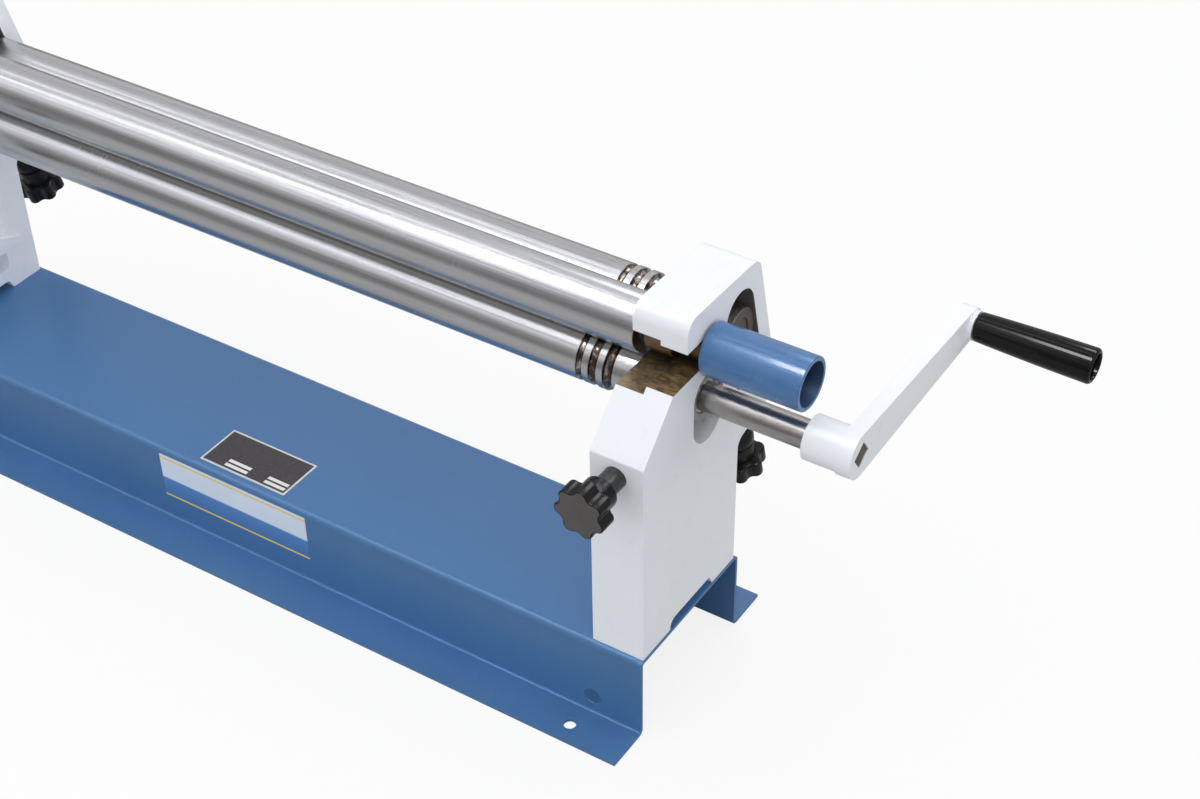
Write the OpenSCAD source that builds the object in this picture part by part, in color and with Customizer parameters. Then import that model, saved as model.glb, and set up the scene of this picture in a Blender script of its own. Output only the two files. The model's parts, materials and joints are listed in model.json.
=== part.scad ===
/* [Rolls] */
// Diameter of each of the three rolls
roll_d = 39; // [37:0.5:41]
// Length of each roll between its shoulders
roll_len = 619; // [560:1:660]
// Gap between the upper and the lower roll as they stand
nip_gap = 1; // [0.8:0.1:1.6]
// Free space between a roll's shoulder and the frame
end_space = 5.4; // [4.5:0.1:7]
// How far the rear roll lies behind the upper roll
rear_back = 43; // [42:0.5:45]
// How far the rear roll lies below the upper roll
rear_drop = 17; // [15:0.5:19]
// Wire grooves near the right end of the lower and rear rolls
groove_count = 3; // [1:1:4]
// Distance from the roll's right shoulder to the last groove
groove_inset = 19.8; // [14:0.2:40]
// Plain land between two neighbouring grooves
groove_land = 4.8; // [3:0.2:8]
// Radius of the narrowest wire groove
groove_r = 2.4; // [1.5:0.1:3]
// How much each wire groove is wider than the one before it
groove_step = 0.7; // [0:0.1:0.8]

/* [Journals and bushes] */
// Diameter of the lower roll's journals
low_journal_d = 24; // [22:0.5:26]
// Diameter of the shaft that carries the crank and the lower gear
shaft_d = 20; // [18:0.5:21]
// Diameter of the rear roll's journals
rear_journal_d = 20; // [16:0.5:24]
// Diameter of the upper roll's right journal
neck_d = 20.6; // [18:0.1:20.8]
// Outside diameter of the lower roll's sliding bushes
low_bush_d = 35.8; // [33:0.2:38]
// Outside diameter of the rear roll's sliding bushes
rear_bush_d = 34.8; // [30:0.2:36]
// Outside diameter of the upper roll's right bush
upper_bush_d = 29.1; // [27:0.1:30]
// How far the bushes stand back from the frame's outer face
bush_recess = 2; // [1:0.5:4]
// Radial clearance of everything that turns or slides
run_fit = 0.05; // [0.02:0.01:0.08]

/* [End frames] */
// Thickness of each cast end frame
frame_t = 40; // [34:1:46]
// Frame face in front of the base's middle line
frame_front = 60.7; // [56:0.1:62]
// Frame face behind the base's middle line
frame_rear = 59.5; // [55:0.5:62]
// Height of the front face above the base
shoulder_h = 165.5; // [158:0.5:168]
// Steepness of the sloping front
slope_angle = 46.6; // [42:0.2:50]
// Height of the upper roll's axis above the base
axis_h = 212.6; // [208:0.2:216]
// Upper roll's axis behind the base's middle line
axis_y = 17.7; // [14:0.1:20]
// Iron above the upper roll's axis at the front of the crown
crown_h = 34.4; // [32:0.2:42]
// How much lower the crown is at its rear edge
crown_fall = 2.5; // [0:0.5:6]
// Upper jaw's front face ahead of the upper roll's axis
jaw_reach = 27.5; // [22:0.5:30]
// Lean of the rear slot, the rear face and the rear screws
lean = 14.5; // [12:0.5:17]
// Iron behind the rear slot
rear_wall = 13; // [10:0.5:16]
// Iron below the rear slot, which the rear screws run through
rear_web = 37.7; // [30:0.5:42]
// Rounding of the crown's front edge
crown_front_r = 11; // [4:0.5:12]
// Rounding of the crown's rear edge
crown_rear_r = 12; // [6:0.5:16]
// Rounding where the overhang meets the rear face
throat_r = 8; // [4:0.5:14]
// Rounding of the casting's other corners
edge_r = 2; // [1:0.5:4]
// Width of the relief under the frame's foot
relief_w = 56; // [40:1:66]
// Height of the relief under the frame's foot
relief_h = 8; // [5:0.5:10]
// Depth of the cast pockets in the inner faces
pocket_depth = 18; // [8:1:20]
// Thickness of the rib between the two pockets
rib_t = 15; // [10:1:22]
// How far that rib stands out of the inner face
rib_proud = 2.5; // [1:0.5:3]

/* [Slots] */
// Height of the open slot's narrow outer half
gate_h = 21.5; // [21.2:0.1:23]
// Room above the lower roll's axis in its slot
low_room_up = 2.5; // [1.5:0.5:3]
// Room below the lower roll's axis in its slot
low_room_down = 17; // [14:0.5:18]
// Room above the rear roll's axis in its slot
rear_room_up = 19; // [16:0.5:20]
// Room below the rear roll's axis in its slot
rear_room_down = 31; // [30:0.5:34]

/* [Base channel] */
// Height of the base's top face above the bench
base_h = 69; // [60:1:80]
// Sheet thickness of the base
sheet_t = 2.5; // [2:0.5:4]
// Half width of the base over its upright sides
side_y = 64.5; // [63:0.5:70]
// Half width of the base over its feet
foot_y = 98.2; // [92:0.2:110]
// Outer radius of the bends
bend_r = 4.5; // [4:0.5:7]
// How far the base runs past the frame's outer face
base_over = 0.6; // [0:0.1:5]
// Diameter of the holes in the feet
foot_hole_d = 9; // [7:0.5:11]
// Distance from the foot's hole to the base's end
foot_hole_inset = 46; // [30:1:70]
// Distance from the base's middle line to the foot's holes
foot_hole_y = 83.5; // [79:0.5:86]
// Diameter of the pressed mark on each upright side
mark_d = 14; // [10:1:18]

/* [Frame bolts] */
// Diameter of the bolts that hold the frames to the base
bolt_d = 10; // [8:1:12]
// Distance of each bolt from the base's middle line
bolt_y = 45; // [42:0.5:48]
// Length of bolt that enters the frame
bolt_grip = 28; // [20:1:34]
// Thickness of the washers
washer_t = 2; // [1.5:0.5:3]

/* [Front adjusters] */
// Height of the front screws below the lower roll's axis
front_drop = 20.5; // [18:0.5:22]
// Diameter of the front screw and of its wedge plunger
stud_d = 16.2; // [15:0.1:18.5]
// Where the front screw's inner end meets the plunger
plunger_y = -21; // [-30:1:-16]
// Visible length of the front screw between frame and knob
front_neck = 15.5; // [10:0.5:24]

/* [Rear adjusters] */
// Diameter of the rear screws
rear_screw_d = 12; // [10:0.5:14]
// Distance from the rear roll's axis to the tip of the screw
rear_tip = 13.5; // [12.5:0.5:15]
// Distance from the rear roll's axis to the knob's domed end
rear_knob_at = 104; // [101:1:120]
// How far the rear screws stand outward of the frame's middle
rear_screw_out = 1.5; // [0:0.1:3]

/* [Star knobs] */
// Diameter over the knob's lobes
knob_d = 37.4; // [34:0.2:46]
// Number of lobes
knob_lobes = 7; // [5:1:8]
// Radius of each lobe
lobe_r = 5.1; // [4:0.1:5.6]
// Radius of each finger hollow between the lobes
hollow_r = 4.5; // [3.5:0.1:6]
// Thickness of the star
star_t = 13.5; // [10:0.5:18]
// Diameter of the round hub behind the star
hub_d = 24; // [22:0.5:26]
// Length of the round hub behind the star
hub_t = 13; // [8:0.5:18]
// Diameter of the rear knobs' domed collar
dome_d = 25; // [24:0.5:29]
// Turn of the front knobs on their screws
front_knob_turn = 18.3; // [0:0.1:51]
// Turn of the rear knobs on their screws
rear_knob_turn = 6.3; // [0:0.1:51]
// Length of the rear knobs' domed collar
dome_t = 16; // [12:0.5:18]
// Length of the narrow groove between that collar and the hub
dome_gap = 2; // [1:0.5:4]

/* [Crank] */
// Outer end of the crank's hub, measured from the frame
crank_reach = 110; // [100:1:120]
// Diameter of the crank's hub
crank_hub_d = 31; // [28:0.5:36]
// Length of the crank's hub
crank_hub_len = 35; // [28:1:45]
// Distance from the lower roll's axis to the grip
crank_radius = 161; // [140:1:180]
// Thickness of the crank's arm
arm_t = 11; // [9:0.5:14]
// Height of the arm at the hub
arm_root_h = 33; // [30:0.5:38]
// Height of the arm at the grip
arm_tip_h = 24; // [20:0.5:28]
// Width over the flats of the square that drives the crank
square_w = 14; // [12:0.5:14.5]
// Turn of the square against the arm
square_turn = 35; // [0:5:85]
// Boss that stands off the arm's end under the grip
grip_boss_t = 3; // [1:0.5:6]
// Length of the grip
grip_len = 84.5; // [70:0.5:110]
// Diameter of the grip beside the arm
grip_root_d = 20.7; // [18.5:0.1:22]
// Diameter of the grip's outer end
grip_end_d = 25; // [22:0.5:30]
// Diameter of the spindle that the grip turns on
spindle_d = 10; // [8:0.5:11]

/* [Lifting tube] */
// Outside diameter of the tube on the upper roll
tube_d = 36.8; // [34:0.2:40]
// Inside diameter of the tube
tube_bore_d = 30.4; // [26:0.2:32]
// Length of the tube
tube_len = 70.8; // [60:1:90]
// Length of the tube's solid end on the roll's neck
tube_plug = 24; // [16:1:40]
// Gap between the tube and the frame
tube_gap = 2; // [2:0.1:3]

/* [Drive gears] */
// Teeth on each of the two gears
gear_teeth = 20; // [16:1:24]
// Width of the gears' teeth
gear_w = 12; // [8:1:16]
// Play between the teeth, along the pitch circle
backlash = 0.7; // [0.5:0.05:0.9]
// Gap between the frame or bush flange and the gears
gear_gap = 1.6; // [1.55:0.05:3]
// Width and height of the square key in the lower gear
key_w = 6; // [5:0.5:7]
// Depth of the keyway in the shaft
key_deep = 3.5; // [2.5:0.5:4]

/* [Swing joint] */
// Diameter of the ball on the upper roll's left end
ball_d = 20; // [18:0.5:20.5]
// Diameter of the neck behind the ball
ball_neck_d = 13.2; // [12:0.1:13.6]
// Outside diameter of the gear's sleeve that holds the ball
sleeve_d = 28.4; // [27.8:0.1:29]
// Outside diameter of the sleeve's bronze bush
sleeve_bush_d = 33; // [32:0.1:33.6]
// Diameter of the cross pin
pin_d = 5; // [4:0.5:6]
// Length of the cross pin
pin_len = 26; // [24:0.5:27]

/* [Gear guard] */
// Sheet thickness of the guard
guard_t = 1.5; // [1:0.5:2]
// Half width of the guard
guard_r = 26; // [25:0.5:27]
// Depth of the guard
guard_depth = 23; // [21:1:30]
// How far the guard's lower arc lies below the lower gear
guard_drop = 8; // [6:0.5:12]
// Diameter of the guard's screws
guard_screw_d = 5; // [4:0.5:6]

/* [Hidden] */
$fn = 96;

// Cutting tools run this far past the face that they break through
past = 1;
// Faces that meet without being one piece stand this far apart
seat = 0.05;
// A slot's straight walls stand this far inside its round ends
slot_wall_in = 0.02;
// Straight steps in each rounded corner of a cast outline
arc_steps = 8;

// Paint and metal colours
paint_white = [0.86, 0.88, 0.91];
paint_blue = [0.28, 0.45, 0.66];
bright_steel = [0.72, 0.72, 0.73];
dark_steel = [0.35, 0.34, 0.33];
bronze = [0.72, 0.55, 0.30];
black_plastic = [0.10, 0.10, 0.10];

// Main planes along the rolls
roll_end = roll_len / 2;
in_x = roll_end + end_space;
out_x = in_x + frame_t;
mid_x = in_x + frame_t / 2;
base_x = out_x + base_over;
bush_in = in_x + seat;
bush_out = out_x - bush_recess;
front_x = (bush_in + bush_out) / 2;
rear_x = mid_x + rear_screw_out;

// Roll axes
roll_r = roll_d / 2;
up_z = base_h + axis_h;
low_z = up_z - roll_d - nip_gap;
rear_y = axis_y + rear_back;
rear_z = up_z - rear_drop;

// Slot radii follow the bushes that slide in them
low_slot_r = low_bush_d / 2 + 0.1;
rear_slot_r = rear_bush_d / 2 + 0.1;
wide_gate_r = upper_bush_d / 2 + run_fit;
gate_step_x = mid_x + 0.6;
low_bush_r = low_bush_d / 2;

// Directions of the leaning slot: down it, and square to it toward the rear
down_y = sin(lean);
down_z = -cos(lean);
back_y = cos(lean);
back_z = sin(lean);
web_bottom = rear_room_down + rear_slot_r + rear_web - 0.1;
wall_back = rear_slot_r + rear_wall;

function on_lean(down, back) =
    [rear_y + down * down_y + back * back_y, rear_z + down * down_z + back * back_z];

// Front screw height and the gear pair
front_z = low_z - front_drop;
front_bore_r = stud_d / 2 + run_fit;
rear_star_at = rear_knob_at + dome_t + dome_gap + hub_t;
pitch_r = (roll_d + nip_gap) / 2;
gear_module = 2 * pitch_r / gear_teeth;
pressure = 20;
base_r = pitch_r * cos(pressure);
tip_r = pitch_r + 0.8 * gear_module;
root_r = pitch_r - 1.3 * gear_module;
gear_x = out_x + gear_gap;
key_top = low_z - shaft_d / 2 + key_deep - seat;

// Crank planes
crank_out = out_x + crank_reach;
crank_in = crank_out - crank_hub_len;
grip_z = low_z;
grip_y = axis_y + crank_radius;
grip_x = crank_out + grip_boss_t;

// Swing joint
ball_r = ball_d / 2;
socket_r = ball_r + run_fit;
ball_x = -mid_x + 0.4;
sleeve_r = sleeve_d / 2;
ring_w = 1;
sleeve_end = -in_x + 2.4;

// Lifting tube
tube_x = out_x + tube_gap;

// A cylinder along the rolls from x0 to x1
module bar(x0, x1, r, y = axis_y, z = up_z) {
    translate([x0, y, z]) rotate([0, 90, 0]) cylinder(h = x1 - x0, r = r);
}

// A cylinder that tapers along the rolls from x0 to x1
module taper(x0, x1, r0, r1, y = axis_y, z = up_z) {
    translate([x0, y, z]) rotate([0, 90, 0]) cylinder(h = x1 - x0, r1 = r0, r2 = r1);
}

// A flat outline in y and z, drawn out along the rolls from x0 to x1
module plate(x0, x1) {
    translate([x0, 0, 0]) rotate([90, 0, 90]) linear_extrude(x1 - x0) children();
}

// The copy of a right-hand piece for the left end
module left_copy() {
    mirror([1, 0, 0]) children();
}

// Brings a piece drawn down the z axis onto the leaning screw line at x
module on_screw_line(x, down) {
    translate([x, on_lean(down, 0)[0], on_lean(down, 0)[1]]) rotate([180 + lean, 0, 0]) children();
}

// Outline with its corners rounded: each corner is [y, z, radius]
function unit(v) = v / norm(v);
function corner_arc(a, b, c, r) =
    let (
        u = unit([a[0] - b[0], a[1] - b[1]]),
        w = unit([c[0] - b[0], c[1] - b[1]]),
        half = acos(u * w) / 2,
        centre = [b[0], b[1]] + unit(u + w) * r / sin(half),
        start = [b[0], b[1]] + u * r / tan(half) - centre,
        stop = [b[0], b[1]] + w * r / tan(half) - centre,
        from = atan2(start[1], start[0]),
        turn = atan2(start[0] * stop[1] - start[1] * stop[0], start * stop)
    )
    [for (i = [0 : arc_steps]) centre + r * [cos(from + turn * i / arc_steps), sin(from + turn * i / arc_steps)]];
function rounded(corners) =
    let (n = len(corners))
    [for (i = [0 : n - 1])
        let (a = corners[(i + n - 1) % n], b = corners[i], c = corners[(i + 1) % n])
        for (p = b[2] > 0 ? corner_arc(a, b, c, b[2]) : [[b[0], b[1]]]) p];

// A slot with round ends, cut right along the rolls between x0 and x1; its
// straight walls stand in a little, so that they meet the ends at clear edges
module slot_cut(x0, x1, from, to, r) {
    run = to - from;
    wall_r = r - slot_wall_in;
    bar(x0, x1, r, from[0], from[1]);
    bar(x0, x1, r, to[0], to[1]);
    translate([x0, from[0], from[1]]) rotate([atan2(run[1], run[0]), 0, 0])
        translate([0, 0, -wall_r]) cube([x1 - x0, norm(run), 2 * wall_r]);
}

// Folded base with a flat top, upright sides and feet turned outward
module base_outline() {
    inner_r = bend_r - sheet_t;
    right_half = [
        [foot_y, 0, 0], [foot_y, sheet_t, 0],
        [side_y, sheet_t, inner_r], [side_y, base_h, bend_r]
    ];
    under_half = [
        [side_y - sheet_t, base_h - sheet_t, inner_r], [side_y - sheet_t, 0, bend_r]
    ];
    left_half = [for (i = [len(right_half) - 1 : -1 : 0]) [-right_half[i][0], right_half[i][1], right_half[i][2]]];
    under_left = [for (i = [len(under_half) - 1 : -1 : 0]) [-under_half[i][0], under_half[i][1], under_half[i][2]]];
    polygon(rounded(concat(right_half, left_half, under_left, under_half)));
}

module base_channel() {
    mark_deep = 0.5;
    mark_z = base_h / 4;
    color(paint_blue) difference() {
        plate(-base_x, base_x) base_outline();
        for (side = [-1, 1], end = [-1, 1]) {
            translate([end * (base_x - foot_hole_inset), side * foot_hole_y, -past])
                cylinder(h = sheet_t + 2 * past, d = foot_hole_d);
            translate([end * mid_x, side * bolt_y, base_h - sheet_t - past])
                cylinder(h = sheet_t + 2 * past, d = bolt_d + 1);
            translate([end * (base_x - foot_hole_inset + mark_d / 2), side * (side_y - mark_deep), mark_z])
                rotate([-90 * side, 0, 0]) cylinder(h = mark_deep + past, d = mark_d);
        }
    }
}

// Side view of an end frame: foot, sloping front, jaw, leaning rear and throat
module frame_outline() {
    slope = tan(slope_angle);
    shoulder_z = base_h + shoulder_h;
    jaw_y = axis_y - jaw_reach;
    crown_z = up_z + crown_h;
    relief_rear = frame_rear / 2;
    relief_front = relief_rear - relief_w;
    low_corner = on_lean(web_bottom, wall_back);
    crown_run = (rear_z - crown_z + crown_fall) / back_y;
    crown_corner = on_lean(crown_run + wall_back * tan(lean), wall_back);
    throat_back = (frame_rear - rear_y - web_bottom * down_y) / back_y;
    throat = on_lean(web_bottom, throat_back);
    polygon(rounded([
        [-frame_front, base_h, 0],
        [relief_front, base_h, 0],
        [relief_front + 1.5, base_h + relief_h, relief_h - 1.5],
        [relief_rear - 4, base_h + relief_h, 3],
        [relief_rear, base_h, 0],
        [frame_rear, base_h, 0],
        [throat[0], throat[1], throat_r],
        [low_corner[0], low_corner[1], edge_r],
        [crown_corner[0], crown_corner[1], crown_rear_r],
        [jaw_y, crown_z, crown_front_r],
        [jaw_y, shoulder_z + slope * (frame_front + jaw_y), 0],
        [-frame_front, shoulder_z, edge_r]
    ]));
}

// Cast pockets of the inner face, above and below the rib
module frame_pockets() {
    pocket_front = -frame_front + 16;
    pocket_rear = frame_rear - 22;
    rib_z = rib_bottom();
    corner_r = 10;
    top_z = front_z - front_bore_r - 14;
    low_floor = base_h + relief_h + 10.5;
    plate(in_x - past, in_x + pocket_depth) polygon(rounded([
        [pocket_front, rib_z + rib_t, corner_r], [pocket_rear, rib_z + rib_t, corner_r],
        [pocket_rear, top_z, corner_r], [pocket_front, top_z, corner_r]
    ]));
    plate(in_x - past, in_x + pocket_depth) polygon(rounded([
        [pocket_front + 8, low_floor, corner_r / 2], [pocket_rear - 7.5, low_floor, corner_r / 2],
        [pocket_rear - 7.5, rib_z, corner_r / 2], [pocket_front + 8, rib_z, corner_r / 2]
    ]));
}

// The rib between the pockets stands out of the inner face and thins to the rear
function rib_bottom() = base_h + relief_h + 27.5;
module frame_rib() {
    low = rib_bottom() + 0.5;
    high = low + rib_t - 1;
    plate(in_x - rib_proud, in_x + past) polygon([
        [-frame_front + 12, low], [frame_rear - 8.5, low], [frame_rear - 13.5, low + 6.5],
        [frame_rear / 2 - 5, high], [-frame_front + 12, high]
    ]);
}

// What both end frames share, drawn for the right end
module frame_casting() {
    difference() {
        union() {
            plate(in_x, out_x) frame_outline();
            frame_rib();
        }
        slot_cut(in_x - past, out_x + past,
            [axis_y, low_z + low_room_up], [axis_y, low_z - low_room_down], low_slot_r);
        slot_cut(in_x - past, out_x + past,
            on_lean(-rear_room_up, 0), on_lean(rear_room_down, 0), rear_slot_r);
        translate([front_x, -frame_front - past, front_z]) rotate([-90, 0, 0])
            cylinder(h = frame_front + past + axis_y, r = front_bore_r);
        on_screw_line(rear_x, rear_room_down)
            cylinder(h = web_bottom - rear_room_down + 2 * past, r = rear_screw_d / 2 + run_fit);
        for (side = [-1, 1])
            translate([mid_x, side * bolt_y, base_h - past])
                cylinder(h = bolt_grip + 3 + past, r = bolt_d / 2 + run_fit);
        frame_pockets();
    }
}

// The right frame has the slot, open to the front, that lets the upper roll out
module frame_right() {
    front_end = -frame_front;
    color(paint_white) difference() {
        frame_casting();
        slot_cut(gate_step_x, out_x + past, [axis_y, up_z], [front_end, up_z], gate_h / 2);
        slot_cut(in_x - past, gate_step_x, [axis_y, up_z], [front_end, up_z], wide_gate_r);
    }
}

// The left frame carries the upper gear's sleeve in a round bore
module frame_left() {
    color(paint_white) left_copy() difference() {
        frame_casting();
        bar(in_x - past, out_x + past, sleeve_bush_d / 2 + seat);
        for (p = guard_ears())
            bar(out_x - 10, out_x + past, guard_screw_d / 2 + seat, p[0], p[1]);
    }
}

module frame_bolts() {
    head_h = 0.64 * bolt_d;
    head_top = base_h - sheet_t - washer_t;
    color(dark_steel) for (side = [-1, 1], end = [-1, 1])
        translate([end * mid_x, side * bolt_y, 0]) {
            translate([0, 0, head_top - head_h]) cylinder(h = head_h, d = 1.96 * bolt_d, $fn = 6);
            translate([0, 0, head_top - head_h / 2])
                cylinder(h = head_h / 2 + washer_t + sheet_t + bolt_grip, d = bolt_d);
        }
}

module frame_washers() {
    color(bright_steel) for (side = [-1, 1], end = [-1, 1])
        translate([end * mid_x, side * bolt_y, base_h - sheet_t - washer_t]) difference() {
            cylinder(h = washer_t, d = 2.1 * bolt_d);
            translate([0, 0, -past]) cylinder(h = washer_t + 2 * past, d = bolt_d + 0.5);
        }
}

// Round wire grooves cut into a roll near its right shoulder
function wire_r(i) = groove_r + groove_step * (groove_count - 1 - i);
function wire_x(i) = i == 0 ? roll_end - groove_inset
    : wire_x(i - 1) - wire_r(i - 1) - groove_land - wire_r(i);
module wire_grooves(y, z) {
    for (i = [0 : groove_count - 1])
        translate([wire_x(i), y, z]) rotate([0, 90, 0]) rotate_extrude()
            translate([roll_r, 0]) circle(r = wire_r(i), $fn = 32);
}

// The barrel of a roll with a small chamfer at each shoulder
module barrel(y, z) {
    chamfer = 0.8;
    taper(-roll_end, -roll_end + chamfer, roll_r - chamfer, roll_r, y, z);
    bar(-roll_end + chamfer, roll_end - chamfer, roll_r, y, z);
    taper(roll_end - chamfer, roll_end, roll_r, roll_r - chamfer, y, z);
}

// Upper roll: plain barrel, right journal through its bush, ball on the left
module upper_roll() {
    color(bright_steel) difference() {
        union() {
            barrel(axis_y, up_z);
            bar(roll_end - past, tube_x + tube_plug - 2, neck_d / 2);
            bar(ball_x, -roll_end + past, ball_neck_d / 2);
            translate([ball_x, axis_y, up_z]) sphere(r = ball_r);
        }
        translate([ball_x, axis_y, up_z - ball_r - past]) cylinder(h = ball_d + 2 * past, r = pin_d / 2 + seat);
    }
}

module drive_pin() {
    color(dark_steel) translate([ball_x, axis_y, up_z - pin_len / 2]) cylinder(h = pin_len, d = pin_d);
}

module lower_roll() {
    color(bright_steel) difference() {
        union() {
            barrel(axis_y, low_z);
            bar(roll_end - past, bush_out - 1, low_journal_d / 2, axis_y, low_z);
            bar(-gear_x + seat, -roll_end + past, low_journal_d / 2, axis_y, low_z);
            bar(bush_out - 2, crank_in + 4, shaft_d / 2, axis_y, low_z);
            bar(-gear_x - gear_w + 0.5, -gear_x + past, shaft_d / 2, axis_y, low_z);
            translate([crank_in, axis_y, low_z]) rotate([square_turn, 0, 0])
                translate([0, -square_w / 2, -square_w / 2])
                    cube([crank_hub_len - 0.8, square_w, square_w]);
        }
        wire_grooves(axis_y, low_z);
        translate([-gear_x - gear_w - past, axis_y - key_w / 2 - seat, low_z - shaft_d / 2 - past])
            cube([gear_w + past, key_w + 2 * seat, past + key_deep]);
        bar(-gear_x - gear_w - past, -gear_x - gear_w + 22, 3 + seat, axis_y, low_z);
    }
}

module rear_roll() {
    color(bright_steel) difference() {
        union() {
            barrel(rear_y, rear_z);
            bar(-bush_out + 1, bush_out - 1, rear_journal_d / 2, rear_y, rear_z);
        }
        wire_grooves(rear_y, rear_z);
        for (end = [-1, 1])
            translate([end * (bush_out - 1), rear_y, rear_z]) rotate([0, 90 * end, 0])
                translate([0, 0, -6]) cylinder(h = 6 + past, r1 = 0.5, r2 = 3.5);
    }
}

// Round bush, drawn for the right end, that slides in a frame slot
module slide_bush(d, bore_d, y, z, x1) {
    difference() {
        bar(bush_in, x1, d / 2, y, z);
        bar(bush_in - past, x1 + past, bore_d / 2 + run_fit, y, z);
    }
}

module lower_bush_right() {
    color(dark_steel) slide_bush(low_bush_d, low_journal_d, axis_y, low_z, bush_out);
}
module lower_bush_left() {
    left_copy() lower_bush_right();
}
module upper_bush_right() {
    color(dark_steel) slide_bush(upper_bush_d, neck_d, axis_y, up_z, gate_step_x - 0.4);
}

// The rear bushes have a blind hole underneath for the tip of the screw
module rear_bush_right() {
    tip_r_rear = rear_screw_d / 2 - 1.5;
    color(dark_steel) difference() {
        slide_bush(rear_bush_d, rear_journal_d, rear_y, rear_z, bush_out);
        on_screw_line(rear_x, rear_tip - seat) cylinder(h = rear_bush_d, r = tip_r_rear + seat);
    }
}
module rear_bush_left() {
    left_copy() rear_bush_right();
}

// Bronze bush with a thrust flange for the upper gear's sleeve
module upper_bush_left() {
    flange_t = gear_gap - 0.1;
    color(bronze) left_copy() difference() {
        union() {
            bar(in_x, out_x + seat, sleeve_bush_d / 2);
            bar(out_x + seat, out_x + flange_t, sleeve_bush_d / 2 + 2.5);
        }
        bar(in_x - past, out_x + gear_gap, sleeve_r + run_fit);
    }
}

// Involute spur gear, a tooth on the y axis when turn is 0
function involute(r) = tan(acos(base_r / r)) * 180 / PI - acos(base_r / r);
module gear_outline(turn) {
    pitch_half = (PI * gear_module - backlash) / 4 / pitch_r * 180 / PI;
    flank = [for (i = [0 : 4]) base_r + (tip_r - base_r) * i / 4];
    half_at = [for (r = flank) pitch_half + involute(pitch_r) - involute(r)];
    polygon([for (k = [0 : gear_teeth - 1])
        let (
            middle = turn + k * 360 / gear_teeth,
            rise = concat([[root_r, -half_at[0]]], [for (i = [0 : 4]) [flank[i], -half_at[i]]]),
            fall = concat([for (i = [4 : -1 : 0]) [flank[i], half_at[i]]], [[root_r, half_at[0]]])
        )
        for (p = concat(rise, fall)) p[0] * [cos(middle + p[1]), sin(middle + p[1])]]);
}

// Lower gear, keyed to the shaft with a tooth pointing at the upper gear
module lower_gear() {
    color(dark_steel) difference() {
        translate([0, axis_y, low_z]) plate(-gear_x - gear_w, -gear_x) gear_outline(90);
        bar(-gear_x - gear_w - past, -gear_x + past, shaft_d / 2 + seat, axis_y, low_z);
        translate([-gear_x - gear_w - past, axis_y - key_w / 2 - seat, key_top - key_w - seat])
            cube([gear_w + 2 * past, key_w + 2 * seat, key_w]);
    }
}

module gear_key() {
    color(bright_steel) translate([-gear_x - gear_w + 0.5, axis_y - key_w / 2, key_top - key_w])
        cube([gear_w - 1, key_w, key_w]);
}

// Bolt and large washer that hold the lower gear on its shaft
module gear_bolt() {
    face = -gear_x - gear_w;
    color(dark_steel) {
        bar(face - 2, face - seat, shaft_d / 2 + 3, axis_y, low_z);
        bar(face - 2, face + 16, 3, axis_y, low_z);
        translate([face - 6, axis_y, low_z]) rotate([0, 90, 0]) cylinder(h = 4, r = 5.8, $fn = 6);
    }
}

// Upper gear and its long sleeve in one piece; the sleeve's open end takes
// the roll's ball, and two slots take the cross pin that drives the roll
module upper_gear() {
    pin_slot = pin_d / 2 + 0.25;
    mouth = sleeve_end + past;
    color(dark_steel) difference() {
        union() {
            translate([0, axis_y, up_z]) plate(-gear_x - gear_w, -gear_x)
                gear_outline(-90 + 180 / gear_teeth);
            bar(-gear_x - past, sleeve_end, sleeve_r);
        }
        bar(ball_x, mouth, socket_r);
        translate([ball_x, axis_y, up_z]) sphere(r = socket_r);
        translate([ball_x, axis_y, up_z - sleeve_r - past])
            cylinder(h = sleeve_d + 2 * past, r = pin_slot + 2);
        translate([ball_x, axis_y - pin_slot, up_z - sleeve_r - past])
            cube([mouth - ball_x, 2 * pin_slot, sleeve_d + 2 * past]);
        difference() {
            bar(sleeve_end - 2 * ring_w, sleeve_end - ring_w, sleeve_r + past);
            bar(sleeve_end - 3 * ring_w, sleeve_end, sleeve_r - 1);
        }
    }
}

// Snap ring that keeps the sleeve in its bush
module snap_ring() {
    gap_w = 6;
    x0 = sleeve_end - 2 * ring_w + seat;
    x1 = sleeve_end - ring_w - seat;
    color(bright_steel) difference() {
        bar(x0, x1, sleeve_r + 2.2);
        bar(x0 - past, x1 + past, sleeve_r - 1 + seat);
        translate([x0 - past, axis_y - gap_w / 2, up_z])
            cube([ring_w + 2 * past, gap_w, sleeve_d]);
    }
}

// Lifting tube: solid end on the roll's neck, open bore to the right
module lift_tube() {
    color(paint_blue) difference() {
        bar(tube_x, tube_x + tube_len, tube_d / 2);
        bar(tube_x - past, tube_x + tube_plug + past, neck_d / 2 + seat);
        bar(tube_x + tube_plug, tube_x + tube_len + past, tube_bore_d / 2);
    }
}

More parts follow.
